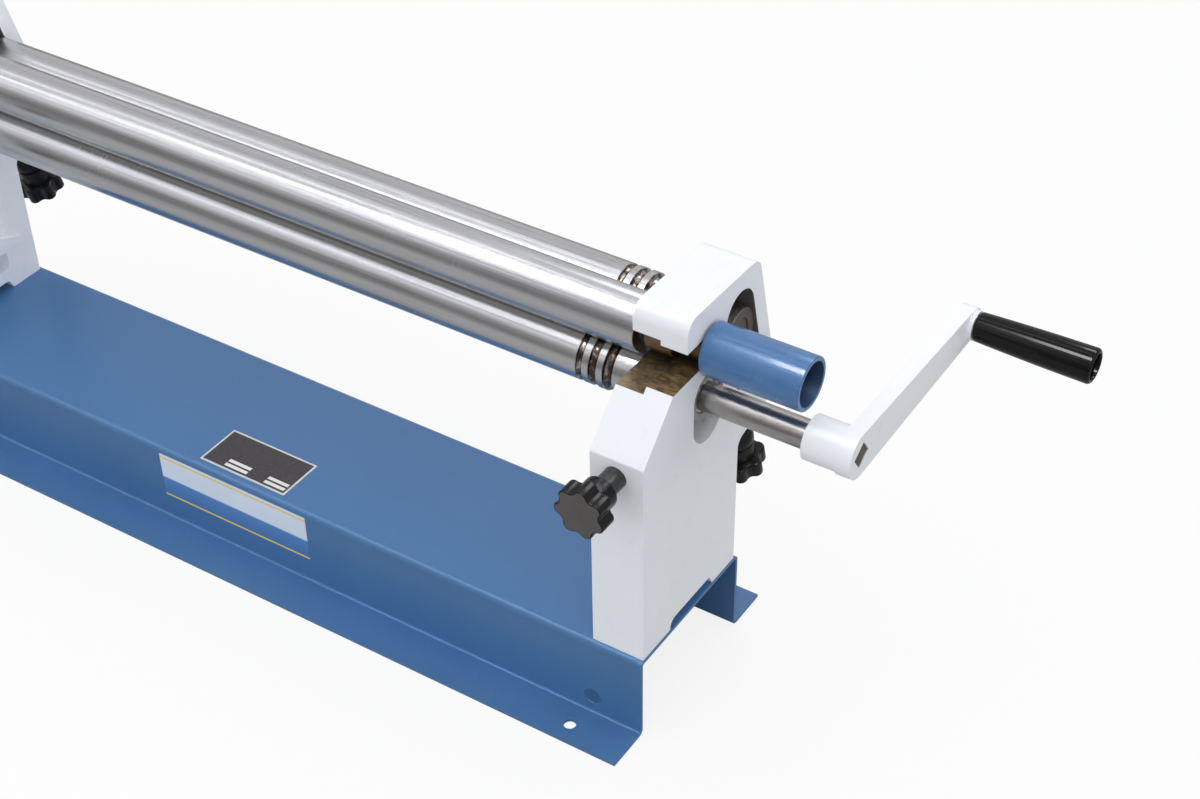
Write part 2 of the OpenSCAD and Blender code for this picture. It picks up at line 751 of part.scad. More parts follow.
// Crank: round hub, flat arm that narrows toward the grip, and a boss
module crank_arm() {
    root_r_arm = arm_root_h / 2;
    tip_r_arm = arm_tip_h / 2;
    side = asin((root_r_arm - tip_r_arm) / crank_radius);
    color(paint_white) difference() {
        union() {
            bar(crank_in, crank_out, crank_hub_d / 2, axis_y, low_z);
            plate(crank_out - arm_t, crank_out) {
                translate([axis_y, low_z]) circle(r = root_r_arm);
                translate([grip_y, grip_z]) circle(r = tip_r_arm);
                translate([axis_y, low_z]) polygon([
                    root_r_arm * [sin(side), cos(side)],
                    [crank_radius, 0] + tip_r_arm * [sin(side), cos(side)],
                    [crank_radius, 0] + tip_r_arm * [sin(side), -cos(side)],
                    root_r_arm * [sin(side), -cos(side)]
                ]);
            }
            bar(crank_out - past, grip_x, tip_r_arm - 1.5, grip_y, grip_z);
        }
        bar(crank_in - past, crank_in + 4 + seat, shaft_d / 2 + seat, axis_y, low_z);
        translate([crank_in, axis_y, low_z]) rotate([square_turn, 0, 0])
            translate([0, -square_w / 2 - seat, -square_w / 2 - seat])
                cube([crank_hub_len + past, square_w + 2 * seat, square_w + 2 * seat]);
        bar(crank_out - arm_t - past, grip_x + past, spindle_d / 2 + seat, grip_y, grip_z);
        translate([crank_in + 12, axis_y, low_z - crank_hub_d / 2 - past])
            cylinder(h = crank_hub_d / 2 + past, r = 3 + seat);
    }
}

// Set screw in the hub's underside that bears on the square
module crank_setscrew() {
    corner = square_w / 2 / max(abs(cos(square_turn)), abs(sin(square_turn)));
    color(dark_steel) difference() {
        translate([crank_in + 12, axis_y, low_z - crank_hub_d / 2 + 1])
            cylinder(h = crank_hub_d / 2 - 1 - corner - 3 * tan(45 - abs(45 - square_turn)) - seat, r = 3);
        translate([crank_in + 12, axis_y, low_z - crank_hub_d / 2 + 1 - past])
            cylinder(h = 1.5 + past, r = 1.7, $fn = 6);
    }
}

// Grip: turned barrel that swells toward its end, with a deep recess there
module crank_grip() {
    x0 = grip_x + 0.3;
    edge = 1.5;
    recess_r = grip_end_d / 2 - 3.6;
    recess_deep = 10;
    color(black_plastic) difference() {
        union() {
            taper(x0, x0 + edge, grip_root_d / 2 - edge, grip_root_d / 2, grip_y, grip_z);
            taper(x0 + edge, x0 + grip_len - edge, grip_root_d / 2, grip_end_d / 2, grip_y, grip_z);
            taper(x0 + grip_len - edge, x0 + grip_len, grip_end_d / 2, grip_end_d / 2 - edge, grip_y, grip_z);
        }
        bar(x0 - past, x0 + grip_len, spindle_d / 2 + run_fit, grip_y, grip_z);
        bar(x0 + grip_len - recess_deep, x0 + grip_len + past, recess_r, grip_y, grip_z);
    }
}

// Shoulder bolt that the grip turns on, headed inside the grip's recess
module grip_bolt() {
    head_x = grip_x + 0.3 + grip_len - 10 + 0.3;
    head_t = 5;
    head_r = spindle_d / 2 + 2.8;
    slot_w = 1.6;
    color(bright_steel) difference() {
        union() {
            bar(crank_out - arm_t, head_x + past, spindle_d / 2, grip_y, grip_z);
            bar(head_x, head_x + head_t, head_r, grip_y, grip_z);
        }
        translate([head_x + head_t - 2, grip_y - slot_w / 2, grip_z - head_r - past])
            cube([2 + past, slot_w, 2 * (head_r + past)]);
    }
}

// Star shape: lobes and finger hollows that run into each other
module star_outline() {
    lobe_at = knob_d / 2 - lobe_r;
    half_turn = 180 / knob_lobes;
    reach = lobe_r + hollow_r;
    across = lobe_at * sin(half_turn);
    hollow_at = lobe_at * cos(half_turn) + sqrt(reach * reach - across * across);
    joint = [lobe_at, 0] + unit(hollow_at * [cos(half_turn), sin(half_turn)] - [lobe_at, 0]) * lobe_r;
    difference() {
        union() {
            for (k = [0 : knob_lobes - 1]) rotate(k * 2 * half_turn)
                translate([lobe_at, 0]) circle(r = lobe_r, $fn = 32);
            polygon([for (k = [0 : knob_lobes - 1], s = [-1, 1])
                norm(joint) * [cos(k * 2 * half_turn + s * atan2(joint[1], joint[0])),
                               sin(k * 2 * half_turn + s * atan2(joint[1], joint[0]))]]);
        }
        for (k = [0 : knob_lobes - 1]) rotate((2 * k + 1) * half_turn)
            translate([hollow_at, 0]) circle(r = hollow_r, $fn = 32);
    }
}

// Front knob, its star facing the operator, with a hub behind it
module front_knob_right() {
    face_y = -frame_front - front_neck - hub_t - star_t;
    color(black_plastic) difference() {
        translate([front_x, face_y, front_z]) rotate([-90, 0, 0]) {
            linear_extrude(star_t) rotate(front_knob_turn) star_outline();
            cylinder(h = star_t + hub_t, d = hub_d);
        }
        translate([front_x, face_y + 5, front_z]) rotate([-90, 0, 0])
            cylinder(h = star_t + hub_t, r = stud_d / 2 - 2 + seat);
    }
}
module front_knob_left() {
    left_copy() front_knob_right();
}

// Black threaded stud of the front adjuster, with a shank inside the knob
module front_screw_right() {
    shoulder_y = -frame_front - front_neck + seat;
    shank = hub_t + star_t - 5.5;
    color(black_plastic) {
        translate([front_x, shoulder_y, front_z]) rotate([-90, 0, 0])
            cylinder(h = plunger_y - seat - shoulder_y, d = stud_d);
        translate([front_x, shoulder_y - shank, front_z]) rotate([-90, 0, 0])
            cylinder(h = shank + past, r = stud_d / 2 - 2);
    }
}
module front_screw_left() {
    left_copy() front_screw_right();
}

// Wedge plunger: its sloping tip carries the lower bush, one up for one in
module front_plunger_right() {
    wedge_gap = 0.2;
    face_sum = axis_y + low_z - sqrt(2) * low_bush_r - wedge_gap;
    tip_y = face_sum - front_z;
    color(dark_steel) difference() {
        translate([front_x, plunger_y, front_z]) rotate([-90, 0, 0])
            cylinder(h = tip_y + stud_d / 2 - plunger_y, d = stud_d);
        translate([front_x - stud_d, tip_y, front_z]) rotate([45, 0, 0])
            translate([0, 0, -2 * stud_d]) cube([2 * stud_d, 2 * stud_d, 4 * stud_d]);
    }
}
module front_plunger_left() {
    left_copy() front_plunger_right();
}

// Rear screw, its turned tip in the bush and its far end in the knob
module rear_screw_right() {
    tip_len = rear_slot_r - rear_tip + 0.5;
    color(dark_steel) {
        on_screw_line(rear_x, rear_tip) cylinder(h = tip_len + past, r = rear_screw_d / 2 - 1.5);
        on_screw_line(rear_x, rear_tip + tip_len)
            cylinder(h = rear_star_at - rear_tip - tip_len, d = rear_screw_d);
    }
}
module rear_screw_left() {
    left_copy() rear_screw_right();
}

// Rear knob: domed collar toward the frame, round hub, star at the bottom
module rear_knob_right() {
    dome_r = dome_d / 2;
    color(black_plastic) difference() {
        on_screw_line(rear_x, rear_knob_at) {
            intersection() {
                translate([0, 0, dome_r]) sphere(r = dome_r);
                cylinder(h = dome_r, r = dome_r + past);
            }
            translate([0, 0, dome_r]) cylinder(h = dome_t - dome_r, r = dome_r);
            cylinder(h = rear_star_at - rear_knob_at + past, d = hub_d - 4);
            translate([0, 0, dome_t + dome_gap]) cylinder(h = hub_t + past, d = hub_d);
            translate([0, 0, rear_star_at - rear_knob_at]) linear_extrude(star_t)
                rotate(rear_knob_turn) star_outline();
        }
        on_screw_line(rear_x, rear_knob_at - past)
            cylinder(h = rear_star_at - rear_knob_at + past + 0.5, r = rear_screw_d / 2 + seat);
    }
}
module rear_knob_left() {
    left_copy() rear_knob_right();
}

// Centres of the guard's two screws, in y and z
function guard_low_z() = low_z - guard_drop;
function guard_ears() = [
    [axis_y - guard_r - 6, (up_z + guard_low_z()) / 2],
    [axis_y, guard_low_z() - guard_r - 6]
];

module guard_shape(r) {
    translate([axis_y, up_z]) circle(r = r);
    translate([axis_y, guard_low_z()]) circle(r = r);
    translate([axis_y - r, guard_low_z()]) square([2 * r, up_z - guard_low_z()]);
}

// Pressed cover over the gears, closed outside, with an ear at each screw
module gear_guard() {
    inner_face = -out_x - seat;
    ear_r = 7;
    color(paint_blue) difference() {
        union() {
            plate(inner_face - guard_depth, inner_face) guard_shape(guard_r);
            for (p = guard_ears()) {
                toward = [axis_y - p[0], p[0] == axis_y ? guard_r : 0];
                bar(inner_face - guard_t, inner_face, ear_r, p[0], p[1]);
                translate([inner_face - guard_t, min(p[0], p[0] + toward[0]) - (toward[0] == 0 ? ear_r : 0),
                           p[1] - (toward[1] == 0 ? ear_r : 0)])
                    cube([guard_t, toward[0] == 0 ? 2 * ear_r : toward[0], toward[1] == 0 ? 2 * ear_r : toward[1]]);
            }
        }
        plate(inner_face - guard_depth + guard_t, inner_face + past) guard_shape(guard_r - guard_t);
        for (p = guard_ears())
            bar(inner_face - guard_t - past, inner_face + past, guard_screw_d / 2 + 0.25, p[0], p[1]);
    }
}

module guard_screws() {
    under_head = -out_x - 2 * seat - guard_t;
    color(bright_steel) for (p = guard_ears()) {
        bar(under_head - 0.6 * guard_screw_d, under_head, 0.9 * guard_screw_d, p[0], p[1]);
        bar(under_head - past, -out_x + 9, guard_screw_d / 2, p[0], p[1]);
    }
}

base_channel();
frame_left();
frame_right();
frame_bolts();
frame_washers();
gear_guard();
guard_screws();
upper_bush_left();
upper_gear();
snap_ring();
upper_bush_right();
upper_roll();
drive_pin();
lift_tube();
lower_bush_left();
lower_bush_right();
lower_roll();
lower_gear();
gear_key();
gear_bolt();
crank_arm();
crank_setscrew();
crank_grip();
grip_bolt();
front_plunger_left();
front_plunger_right();
front_screw_left();
front_screw_right();
front_knob_left();
front_knob_right();
rear_bush_left();
rear_bush_right();
rear_screw_left();
rear_screw_right();
rear_knob_left();
rear_knob_right();
rear_roll();
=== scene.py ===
import json
from math import asin, atan2, cos, hypot, pi, radians, sin, sqrt

import bmesh
import bpy
from mathutils import Matrix, Vector

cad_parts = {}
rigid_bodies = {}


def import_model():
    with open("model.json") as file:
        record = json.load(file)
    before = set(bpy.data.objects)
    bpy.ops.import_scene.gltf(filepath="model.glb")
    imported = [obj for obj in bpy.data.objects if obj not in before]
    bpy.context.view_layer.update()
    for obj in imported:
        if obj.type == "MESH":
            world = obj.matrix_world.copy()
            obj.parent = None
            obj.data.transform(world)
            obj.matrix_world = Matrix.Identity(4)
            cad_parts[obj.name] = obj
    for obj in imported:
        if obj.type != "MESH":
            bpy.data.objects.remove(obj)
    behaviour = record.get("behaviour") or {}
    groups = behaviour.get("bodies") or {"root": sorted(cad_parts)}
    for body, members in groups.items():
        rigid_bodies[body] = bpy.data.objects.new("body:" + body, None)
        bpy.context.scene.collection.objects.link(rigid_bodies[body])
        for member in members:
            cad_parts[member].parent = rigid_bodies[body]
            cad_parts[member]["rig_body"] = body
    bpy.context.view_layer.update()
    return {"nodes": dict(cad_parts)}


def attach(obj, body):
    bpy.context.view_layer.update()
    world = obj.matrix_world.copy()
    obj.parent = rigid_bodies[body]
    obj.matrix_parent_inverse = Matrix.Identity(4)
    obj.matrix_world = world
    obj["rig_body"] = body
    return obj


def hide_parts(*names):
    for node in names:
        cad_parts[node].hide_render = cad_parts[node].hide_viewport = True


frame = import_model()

# Sizes of the machine in millimetres, on the part's own axes
MM = 0.001
ROLL_R = 19.5
ROLL_END = 309.5
ROLL_CHAMFER = 0.8
IN_X = 314.9
OUT_X = 354.9
FRONT_X = 333.925
REAR_X = 336.4
AXIS_Y = 17.7
UP_Z = 281.6
LOW_Z = 241.6
REAR_Y = 60.7
REAR_Z = 264.6
LEAN = radians(14.5)
DOWN = Vector((0, sin(LEAN), -cos(LEAN)))
TO_REAR = (0, 1, 0)
TO_RIGHT = (1, 0, 0)
FRAME_FRONT = 60.7
FRONT_Z = 221.1
# Journals, bushes and the frames' openings
LOW_JOURNAL_R = 12.0
SHAFT_R = 10.0
REAR_JOURNAL_R = 10.0
NECK_R = 10.3
BUSH_OUT = 352.9
BUSH_IN = 314.95
RUN_FIT = 0.05
LOW_BUSH_R = 17.9
REAR_BUSH_R = 17.4
UPPER_BUSH_R = 14.55
LOW_SLOT_R = 18.0
REAR_SLOT_R = 17.5
GATE_STEP_X = 335.5
WIDE_GATE_R = 14.6
# Grooves, tube, crank and grip
GROOVES = ((267.7, 2.4), (278.0, 3.1), (289.7, 3.8))
TUBE_X = 356.9
TUBE_LEN = 70.8
TUBE_R = 18.4
TUBE_BORE_R = 15.2
TUBE_PLUG = 24.0
CRANK_IN = 429.9
CRANK_OUT = 464.9
CRANK_RADIUS = 161.0
SQUARE_W = 14.0
SQUARE_TURN = 35.0
GRIP_X = 468.2
GRIP_LEN = 84.5
GRIP_ROOT_R = 10.35
GRIP_END_R = 12.5
SPINDLE_R = 5.0
# Ball joint and gears
BALL_X = -334.5
BALL_R = 10.0
BALL_NECK_R = 6.6
GEAR_X = 356.5
GEAR_W = 12.0
# Knobs and screws; star turns in degrees
STUD_R = 8.1
KNOB_R = 18.7
LOBES = 7
LOBE_R = 5.1
HOLLOW_R = 4.5
STAR_T = 13.5
HUB_R = 12.0
SCREW_HOLE_Y = -83.0
SCREW_HOLE_TURN = radians(57.3)
HUB_T = 13.0
DOME_R = 12.5
DOME_T = 16.0
DOME_GAP = 2.0
FRONT_NECK = 15.5
PLUNGER_Y = -21.0
REAR_SCREW_R = 6.0
REAR_TIP = 13.5
REAR_KNOB_AT = 104.0
THREAD_PITCH = 1.75
THREAD_DEPTH = 0.75
FRONT_STAR_TURNS = {"right": 18.3, "left": 7.4}
REAR_STAR_TURNS = {"right": -6.3, "left": 32.0}
# Reach of the openings' middle lines from the rolls at rest
LOW_SLOT_UP = 2.5
LOW_SLOT_DOWN = 17.0
REAR_SLOT_UP = 19
REAR_SLOT_DOWN = 31
GATE_MOUTH_Y = -80.0
# Base, plate and sticker
BASE_H = 69.0
SIDE_Y = 64.5
PLATE_X = 2.8
PLATE_Y = -37.7
PLATE_LENGTH = 80.2
PLATE_WIDTH = 39.3
PLATE_T = 0.5
PLATE_MARGIN = 1.6
BOX_COLUMNS = ((20.5, 41.5), (58.0, 77.0))
BOX_ROWS = ((3.6, 6.6), (8.4, 11.4))
STICKER_X = -2.5
STICKER_LENGTH = 140.0
STICKER_LOW = 21.5
STICKER_HIGH = 64.0
STICKER_T = 0.12
STICKER_LINE = 1.5
# Where the finishes change
PRESSED_MARK_X = 315.7
PRESSED_MARK_Z = 16
STAINED_X = (263, 294.5)
OILED_X = (252, 308)
RUST_X = (326, 347)
GOLD_Y = (10, -16)
GATE_DARK_Y = (-6, 16)
SHADED_INWARD_X = (352, 330)
BANDS_MEET = 0.47
# Roundings and small measures
CAST_RIM = 1.4
MACHINED_SHARE = 0.22
PRINT_EDGE = 0.15
WELD = 1e-4
# Degrees from which edges are rounded and shading breaks
HARD_EDGE = 30
CREASE = 32


def linear(*rgb):
    """An ordinary colour of 0 to 255 as the renderer's own linear one."""
    shares = [c / 255 for c in rgb]
    return tuple(s / 12.92 if s <= 0.04045 else ((s + 0.055) / 1.055) ** 2.4 for s in shares)


class Wire:
    """A value in a look, which takes part in plain sums."""

    def __init__(self, look, socket):
        self.look = look
        self.socket = socket

    def sum(self, operation, *values):
        return self.look.node("ShaderNodeMath", {"operation": operation}, dict(enumerate(values)))

    def __add__(self, other):
        return self.sum("ADD", self, other)

    def __sub__(self, other):
        return self.sum("SUBTRACT", self, other)

    def __rsub__(self, other):
        return self.sum("SUBTRACT", other, self)

    def __mul__(self, other):
        return self.sum("MULTIPLY", self, other)

    def __truediv__(self, other):
        return self.sum("DIVIDE", self, other)

    def __pow__(self, other):
        return self.sum("POWER", self, other)

    def __abs__(self):
        return self.sum("ABSOLUTE", self)

    __radd__ = __add__
    __rmul__ = __mul__


class Look:
    """A tree of shader nodes, with short ways to blend and mask in it."""

    def __init__(self, tree):
        self.tree = tree

    def node(self, kind, settings=None, inputs=None, out=0):
        """A new node's output; inputs are constants or values."""
        made = self.tree.nodes.new(kind)
        for key, value in (settings or {}).items():
            if key == "stops":
                self.fill_ramp(made.color_ramp, value)
            else:
                setattr(made, key, value)
        for key, value in (inputs or {}).items():
            if isinstance(value, Wire):
                self.tree.links.new(value.socket, made.inputs[key])
            else:
                made.inputs[key].default_value = value
        return Wire(self, made.outputs[out])

    @staticmethod
    def fill_ramp(ramp, stops):
        """Gives a ramp its (place, colour) stops."""
        while len(ramp.elements) < len(stops):
            ramp.elements.new(1.0)
        for element, (at, color) in zip(ramp.elements, stops):
            element.position = at
            element.color = (*color, 1.0)

    def split(self, vector):
        """The three parts of a vector."""
        made = self.tree.nodes.new("ShaderNodeSeparateXYZ")
        self.tree.links.new(vector.socket, made.inputs[0])
        return [Wire(self, s) for s in made.outputs]

    def mask(self, value, low, high):
        """Rises smoothly from 0 at low to 1 at high, or falls if low is above high."""
        if low > high:
            return 1 - self.mask(value, high, low)
        values = {"Value": value, "From Min": low, "From Max": high}
        return self.node("ShaderNodeMapRange", {"interpolation_type": "SMOOTHSTEP"}, values)

    def inside(self, value, low, high, edge):
        """1 between low and high, 0 outside, with soft edges."""
        return self.mask(value, low - edge, low + edge) * self.mask(value, high + edge, high - edge)

    def mix(self, share, first, second):
        """Blends two colours by a share from 0 to 1."""
        first, second = ((*c, 1.0) if isinstance(c, tuple) else c for c in (first, second))
        return self.node("ShaderNodeMix", {"data_type": "RGBA"}, {0: share, 6: first, 7: second}, out=2)


class Finish(Look):
    """One material, built from nodes in the part's own millimetres."""

    def __init__(self, name, color, roughness, metallic=0.0, coat=0.0):
        self.material = bpy.data.materials.new(name)
        self.material.use_nodes = True
        super().__init__(self.material.node_tree)
        self.shader = self.tree.nodes["Principled BSDF"]
        self.set("Base Color", (*color, 1.0))
        self.set("Roughness", roughness)
        self.set("Metallic", metallic)
        self.set("Coat Weight", coat)
        place = self.node("ShaderNodeTexCoord", out="Object")
        self.mm = self.node("ShaderNodeVectorMath", {"operation": "SCALE"}, {0: place, "Scale": 1 / MM})
        self.x, self.y, self.z = self.split(self.mm)

    def set(self, socket, value):
        """Sets a socket of the shader to a constant, or links it to a value."""
        if isinstance(value, Wire):
            self.tree.links.new(value.socket, self.shader.inputs[socket])
        else:
            self.shader.inputs[socket].default_value = value

    def noise(self, size, stretch=(1, 1, 1), detail=3.0, rough=0.5, warp=0.0):
        """Noise with grains about size millimetres wide, longer along an axis of larger stretch."""
        spread = tuple(1 / s for s in stretch)
        where = self.node("ShaderNodeVectorMath", {"operation": "MULTIPLY"}, {0: self.mm, 1: spread})
        values = {"Vector": where, "Scale": 1 / size, "Detail": detail,
                  "Roughness": rough, "Distortion": warp}
        return self.node("ShaderNodeTexNoise", {}, values)

    def bump(self, height, depth):
        """Relief in which a height of 1 stands depth millimetres proud."""
        values = {"Height": height, "Distance": depth * MM, "Strength": 1.0}
        self.set("Normal", self.node("ShaderNodeBump", {}, values))

    def radius_from(self, y, z):
        """Distance in millimetres from a line along the rolls."""
        side = self.y - y
        up = self.z - z
        return (side * side + up * up) ** 0.5


def white_paint():
    """Thick white paint on a machined and filled casting."""
    paint = Finish("white_paint", (0.86, 0.875, 0.90), 0.4, coat=0.1)
    drift = paint.noise(55, detail=2)
    smudge = paint.mask(paint.noise(16, detail=5, rough=0.62), 0.56, 0.78)
    base = paint.mix(drift, (0.828, 0.850, 0.884), (0.874, 0.892, 0.922))
    specks = paint.mask(paint.noise(4, detail=5, rough=0.7), 0.6, 0.75)
    grime = specks * paint.mask(paint.noise(40), 0.5, 0.62)
    base = paint.mix(smudge * 0.3, base, (0.76, 0.76, 0.76))
    paint.set("Base Color", paint.mix(grime * 0.3, base, (0.56, 0.54, 0.52)))
    paint.set("Roughness", 0.33 + 0.14 * paint.noise(9, detail=4))
    peel = paint.noise(1.5, detail=2, rough=0.4)
    waves = paint.noise(17, detail=2)
    paint.bump(peel * 0.16 + waves * 1.0, 0.22)
    return paint.material


def blue_paint():
    """Steel-blue sheet paint with a fine orange peel."""
    paint = Finish("blue_paint", linear(66, 109, 155), 0.35, coat=0.12)
    drift = paint.noise(90, detail=3)
    cloud = paint.noise(14, detail=4, rough=0.6)
    base = paint.mix(drift, linear(61, 104, 150), linear(69, 113, 161))
    dust = paint.mask(cloud, 0.55, 0.8)
    base = paint.mix(dust * 0.2, base, linear(88, 128, 172))
    # Painted light: the base's top face is made lighter than its sides.
    lit_top_face = paint.mask(paint.z, BASE_H - 0.8, BASE_H - 0.2)
    base = paint.mix(lit_top_face * 0.3, base, linear(74, 124, 176))
    mark = ((paint.x - PRESSED_MARK_X) ** 2 + (paint.z - PRESSED_MARK_Z) ** 2) ** 0.5
    on_flange = paint.mask(paint.y, 1.5 - SIDE_Y, 0.5 - SIDE_Y)
    # Painted shade: the pressed dish is darkened in colour as well as sunk by the bump.
    shaded_dish = paint.mask(mark, 7.4, 4.5) * on_flange
    paint.set("Base Color", paint.mix(shaded_dish * 0.45, base, linear(34, 58, 88)))
    paint.set("Roughness", 0.30 + 0.16 * cloud)
    peel = paint.noise(1.1, detail=2, rough=0.4)
    rolled = paint.noise(24, stretch=(4, 1, 1), detail=2)
    rim = paint.inside(mark, 6.6, 8.0, 0.6) * on_flange
    paint.bump(peel * 0.16 + rolled * 0.8 - shaded_dish * 3.0 + rim * 1.2, 0.2)
    return paint.material


def tube_paint():
    """The same blue, sprayed thicker on the lifting tube, with a coarser peel."""
    paint = Finish("tube_paint", linear(68, 112, 160), 0.24, coat=0.35)
    cloud = paint.noise(12, stretch=(2, 1, 1), detail=4, rough=0.6)
    paint.set("Base Color", paint.mix(cloud, linear(62, 105, 153), linear(72, 117, 168)))
    paint.set("Roughness", 0.20 + 0.12 * cloud)
    paint.bump(paint.noise(1.4, detail=3, rough=0.5) * 0.8 + cloud * 0.6, 0.16)
    return paint.material


def bore_shade():
    """Inside of the lifting tube: dark blue as painted shade, darkest deeper in from the open end."""
    paint = Finish("bore_shade", linear(18, 38, 66), 0.5)
    cloud = paint.noise(6, detail=4, rough=0.6)
    # Painted shade: the bore darkens deeper in from its open end.
    depth = paint.mask(paint.x, TUBE_X + TUBE_LEN - 2, TUBE_X + TUBE_LEN - 34)
    outer = paint.mix(cloud, linear(26, 52, 86), linear(34, 62, 98))
    paint.set("Base Color", paint.mix(depth, outer, linear(10, 20, 36)))
    paint.set("Roughness", 0.45 + 0.2 * cloud)
    paint.bump(cloud, 0.1)
    return paint.material


def ground_steel(name, y, z, grooved=False):
    """Bright ground steel turned about a line along the rolls, with fine rings and some oil."""
    steel = Finish(name, (0.56, 0.555, 0.55), 0.15, metallic=1.0)
    rings = steel.noise(0.35, stretch=(1, 60, 60), detail=4, rough=0.7)
    streaks = steel.noise(1.2, stretch=(160, 1, 1), detail=4, rough=0.7)
    bands = steel.noise(7, stretch=(1, 30, 30), detail=3)
    cloud = steel.noise(26, stretch=(2.5, 1, 1), detail=4, rough=0.6)
    base = steel.mix(cloud, (0.535, 0.53, 0.53), (0.62, 0.62, 0.622))
    base = steel.mix(steel.mask(streaks, 0.48, 0.68) * 0.5, base, (0.37, 0.355, 0.345))
    if grooved:
        radius = steel.radius_from(y, z)
        deep = steel.mask(radius, ROLL_R - 0.15, ROLL_R - 0.9)
        deep = deep * steel.inside(steel.x, *STAINED_X, 1)
        stain = steel.mask(steel.noise(7, detail=4, rough=0.6), 0.38, 0.55)
        base = steel.mix(deep * 0.45, base, (0.30, 0.27, 0.24))
        base = steel.mix(deep * stain * 0.95, base, (0.070, 0.042, 0.025))
        film = steel.inside(steel.x, *OILED_X, 5)
        film = film * steel.mask(steel.noise(12, detail=3), 0.5, 0.68)
        base = steel.mix(film * 0.35, base, (0.50, 0.42, 0.30))
    steel.set("Base Color", base)
    steel.set("Roughness", 0.14 + 0.08 * rings + 0.10 * cloud + 0.04 * streaks)
    steel.bump(rings * 0.3 + bands * 0.2 + streaks * 1.0, 0.008)
    return steel.material


def turned_steel(name, light, dark, roughness):
    """Oiled, turned or milled steel in two greys."""
    steel = Finish(name, light, roughness, metallic=1.0)
    cloud = steel.noise(9, detail=5, rough=0.6)
    marks = steel.noise(0.5, stretch=(1, 14, 14), detail=3, rough=0.7)
    steel.set("Base Color", steel.mix(cloud, dark, light))
    steel.set("Roughness", (roughness - 0.08) + 0.16 * marks)
    steel.bump(marks, 0.012)
    return steel.material


def gate_iron():
    """Bare milled iron with brown oil and yellow streaks."""
    iron = Finish("gate_iron", (0.13, 0.085, 0.045), 0.4, metallic=0.75)
    sweep = iron.noise(7, stretch=(1.6, 1, 1), detail=5, rough=0.62, warp=0.8)
    fine = iron.noise(2.2, stretch=(3, 1, 1), detail=4, rough=0.65)
    base = iron.mix(iron.mask(sweep, 0.3, 0.7), (0.105, 0.075, 0.042), (0.28, 0.21, 0.13))
    rust = iron.mask(sweep * 0.6 + fine * 0.4, 0.50, 0.62) * iron.mask(iron.x, *RUST_X)
    base = iron.mix(rust * 0.8, base, (0.50, 0.25, 0.055))
    gold = iron.mask(fine, 0.52, 0.68) * iron.mask(iron.y, *GOLD_Y)
    base = iron.mix(gold * 0.6, base, (0.50, 0.36, 0.13))
    # The gate's iron darkens toward the rear, beside the upper roll's neck.
    deep = iron.mask(iron.y, *GATE_DARK_Y)
    base = iron.mix(deep * 0.55, base, (0.045, 0.03, 0.018))
    iron.set("Base Color", base)
    iron.set("Roughness", 0.30 + 0.25 * fine)
    iron.bump(fine * 0.6 + sweep * 0.4, 0.05)
    return iron.material


def slot_paint():
    """The lower slots' walls: white paint smudged grey at random, with painted shade toward the bushes and
    deeper in from the outer face.
    """
    paint = Finish("slot_paint", (0.78, 0.79, 0.81), 0.45)
    smear = paint.noise(6, stretch=(1.5, 1, 1), detail=6, rough=0.7)
    # Painted shade: darker toward the bush above, and deeper in from the frame's outer face.
    shade_near_bush = paint.mask(paint.z, LOW_Z - 38, LOW_Z - 20)
    inner = paint.mask(abs(paint.x), *SHADED_INWARD_X)
    share = paint.mask(smear * 0.7 + shade_near_bush * 0.35 + inner * 0.35, 0.52, 0.86)
    paint.set("Base Color", paint.mix(share, (0.80, 0.81, 0.83), (0.20, 0.19, 0.18)))
    paint.set("Roughness", 0.38 + 0.25 * smear)
    paint.bump(smear, 0.08)
    return paint.material


def slot_iron():
    """The sloping slots' walls and the screw bores: dull brown-grey iron with thin overspray."""
    iron = Finish("slot_iron", (0.20, 0.18, 0.16), 0.5, metallic=0.2)
    smear = iron.noise(8, stretch=(1.5, 1, 1), detail=5, rough=0.65)
    fine = iron.noise(1.6, detail=4, rough=0.7)
    grey = iron.mix(smear, (0.085, 0.073, 0.062), (0.26, 0.24, 0.22))
    iron.set("Base Color", iron.mix(iron.mask(fine, 0.56, 0.7) * 0.5, grey, (0.42, 0.41, 0.40)))
    iron.set("Roughness", 0.42 + 0.25 * smear)
    iron.bump(smear * 0.6 + fine * 0.4, 0.08)
    return iron.material


def black_oxide():
    """Blackened steel with a fine grain."""
    steel = Finish("black_oxide", (0.028, 0.028, 0.03), 0.3, metallic=0.5)
    grain = steel.noise(0.9, detail=4, rough=0.7)
    rings = steel.noise(0.45, stretch=(14, 1, 14), detail=3, rough=0.6)
    base = steel.mix(grain * 0.6 + rings * 0.4, (0.022, 0.022, 0.023), (0.075, 0.073, 0.072))
    steel.set("Base Color", base)
    steel.set("Roughness", 0.22 + 0.16 * grain)
    steel.bump(grain * 0.25 + rings * 0.75, 0.06)
    return steel.material


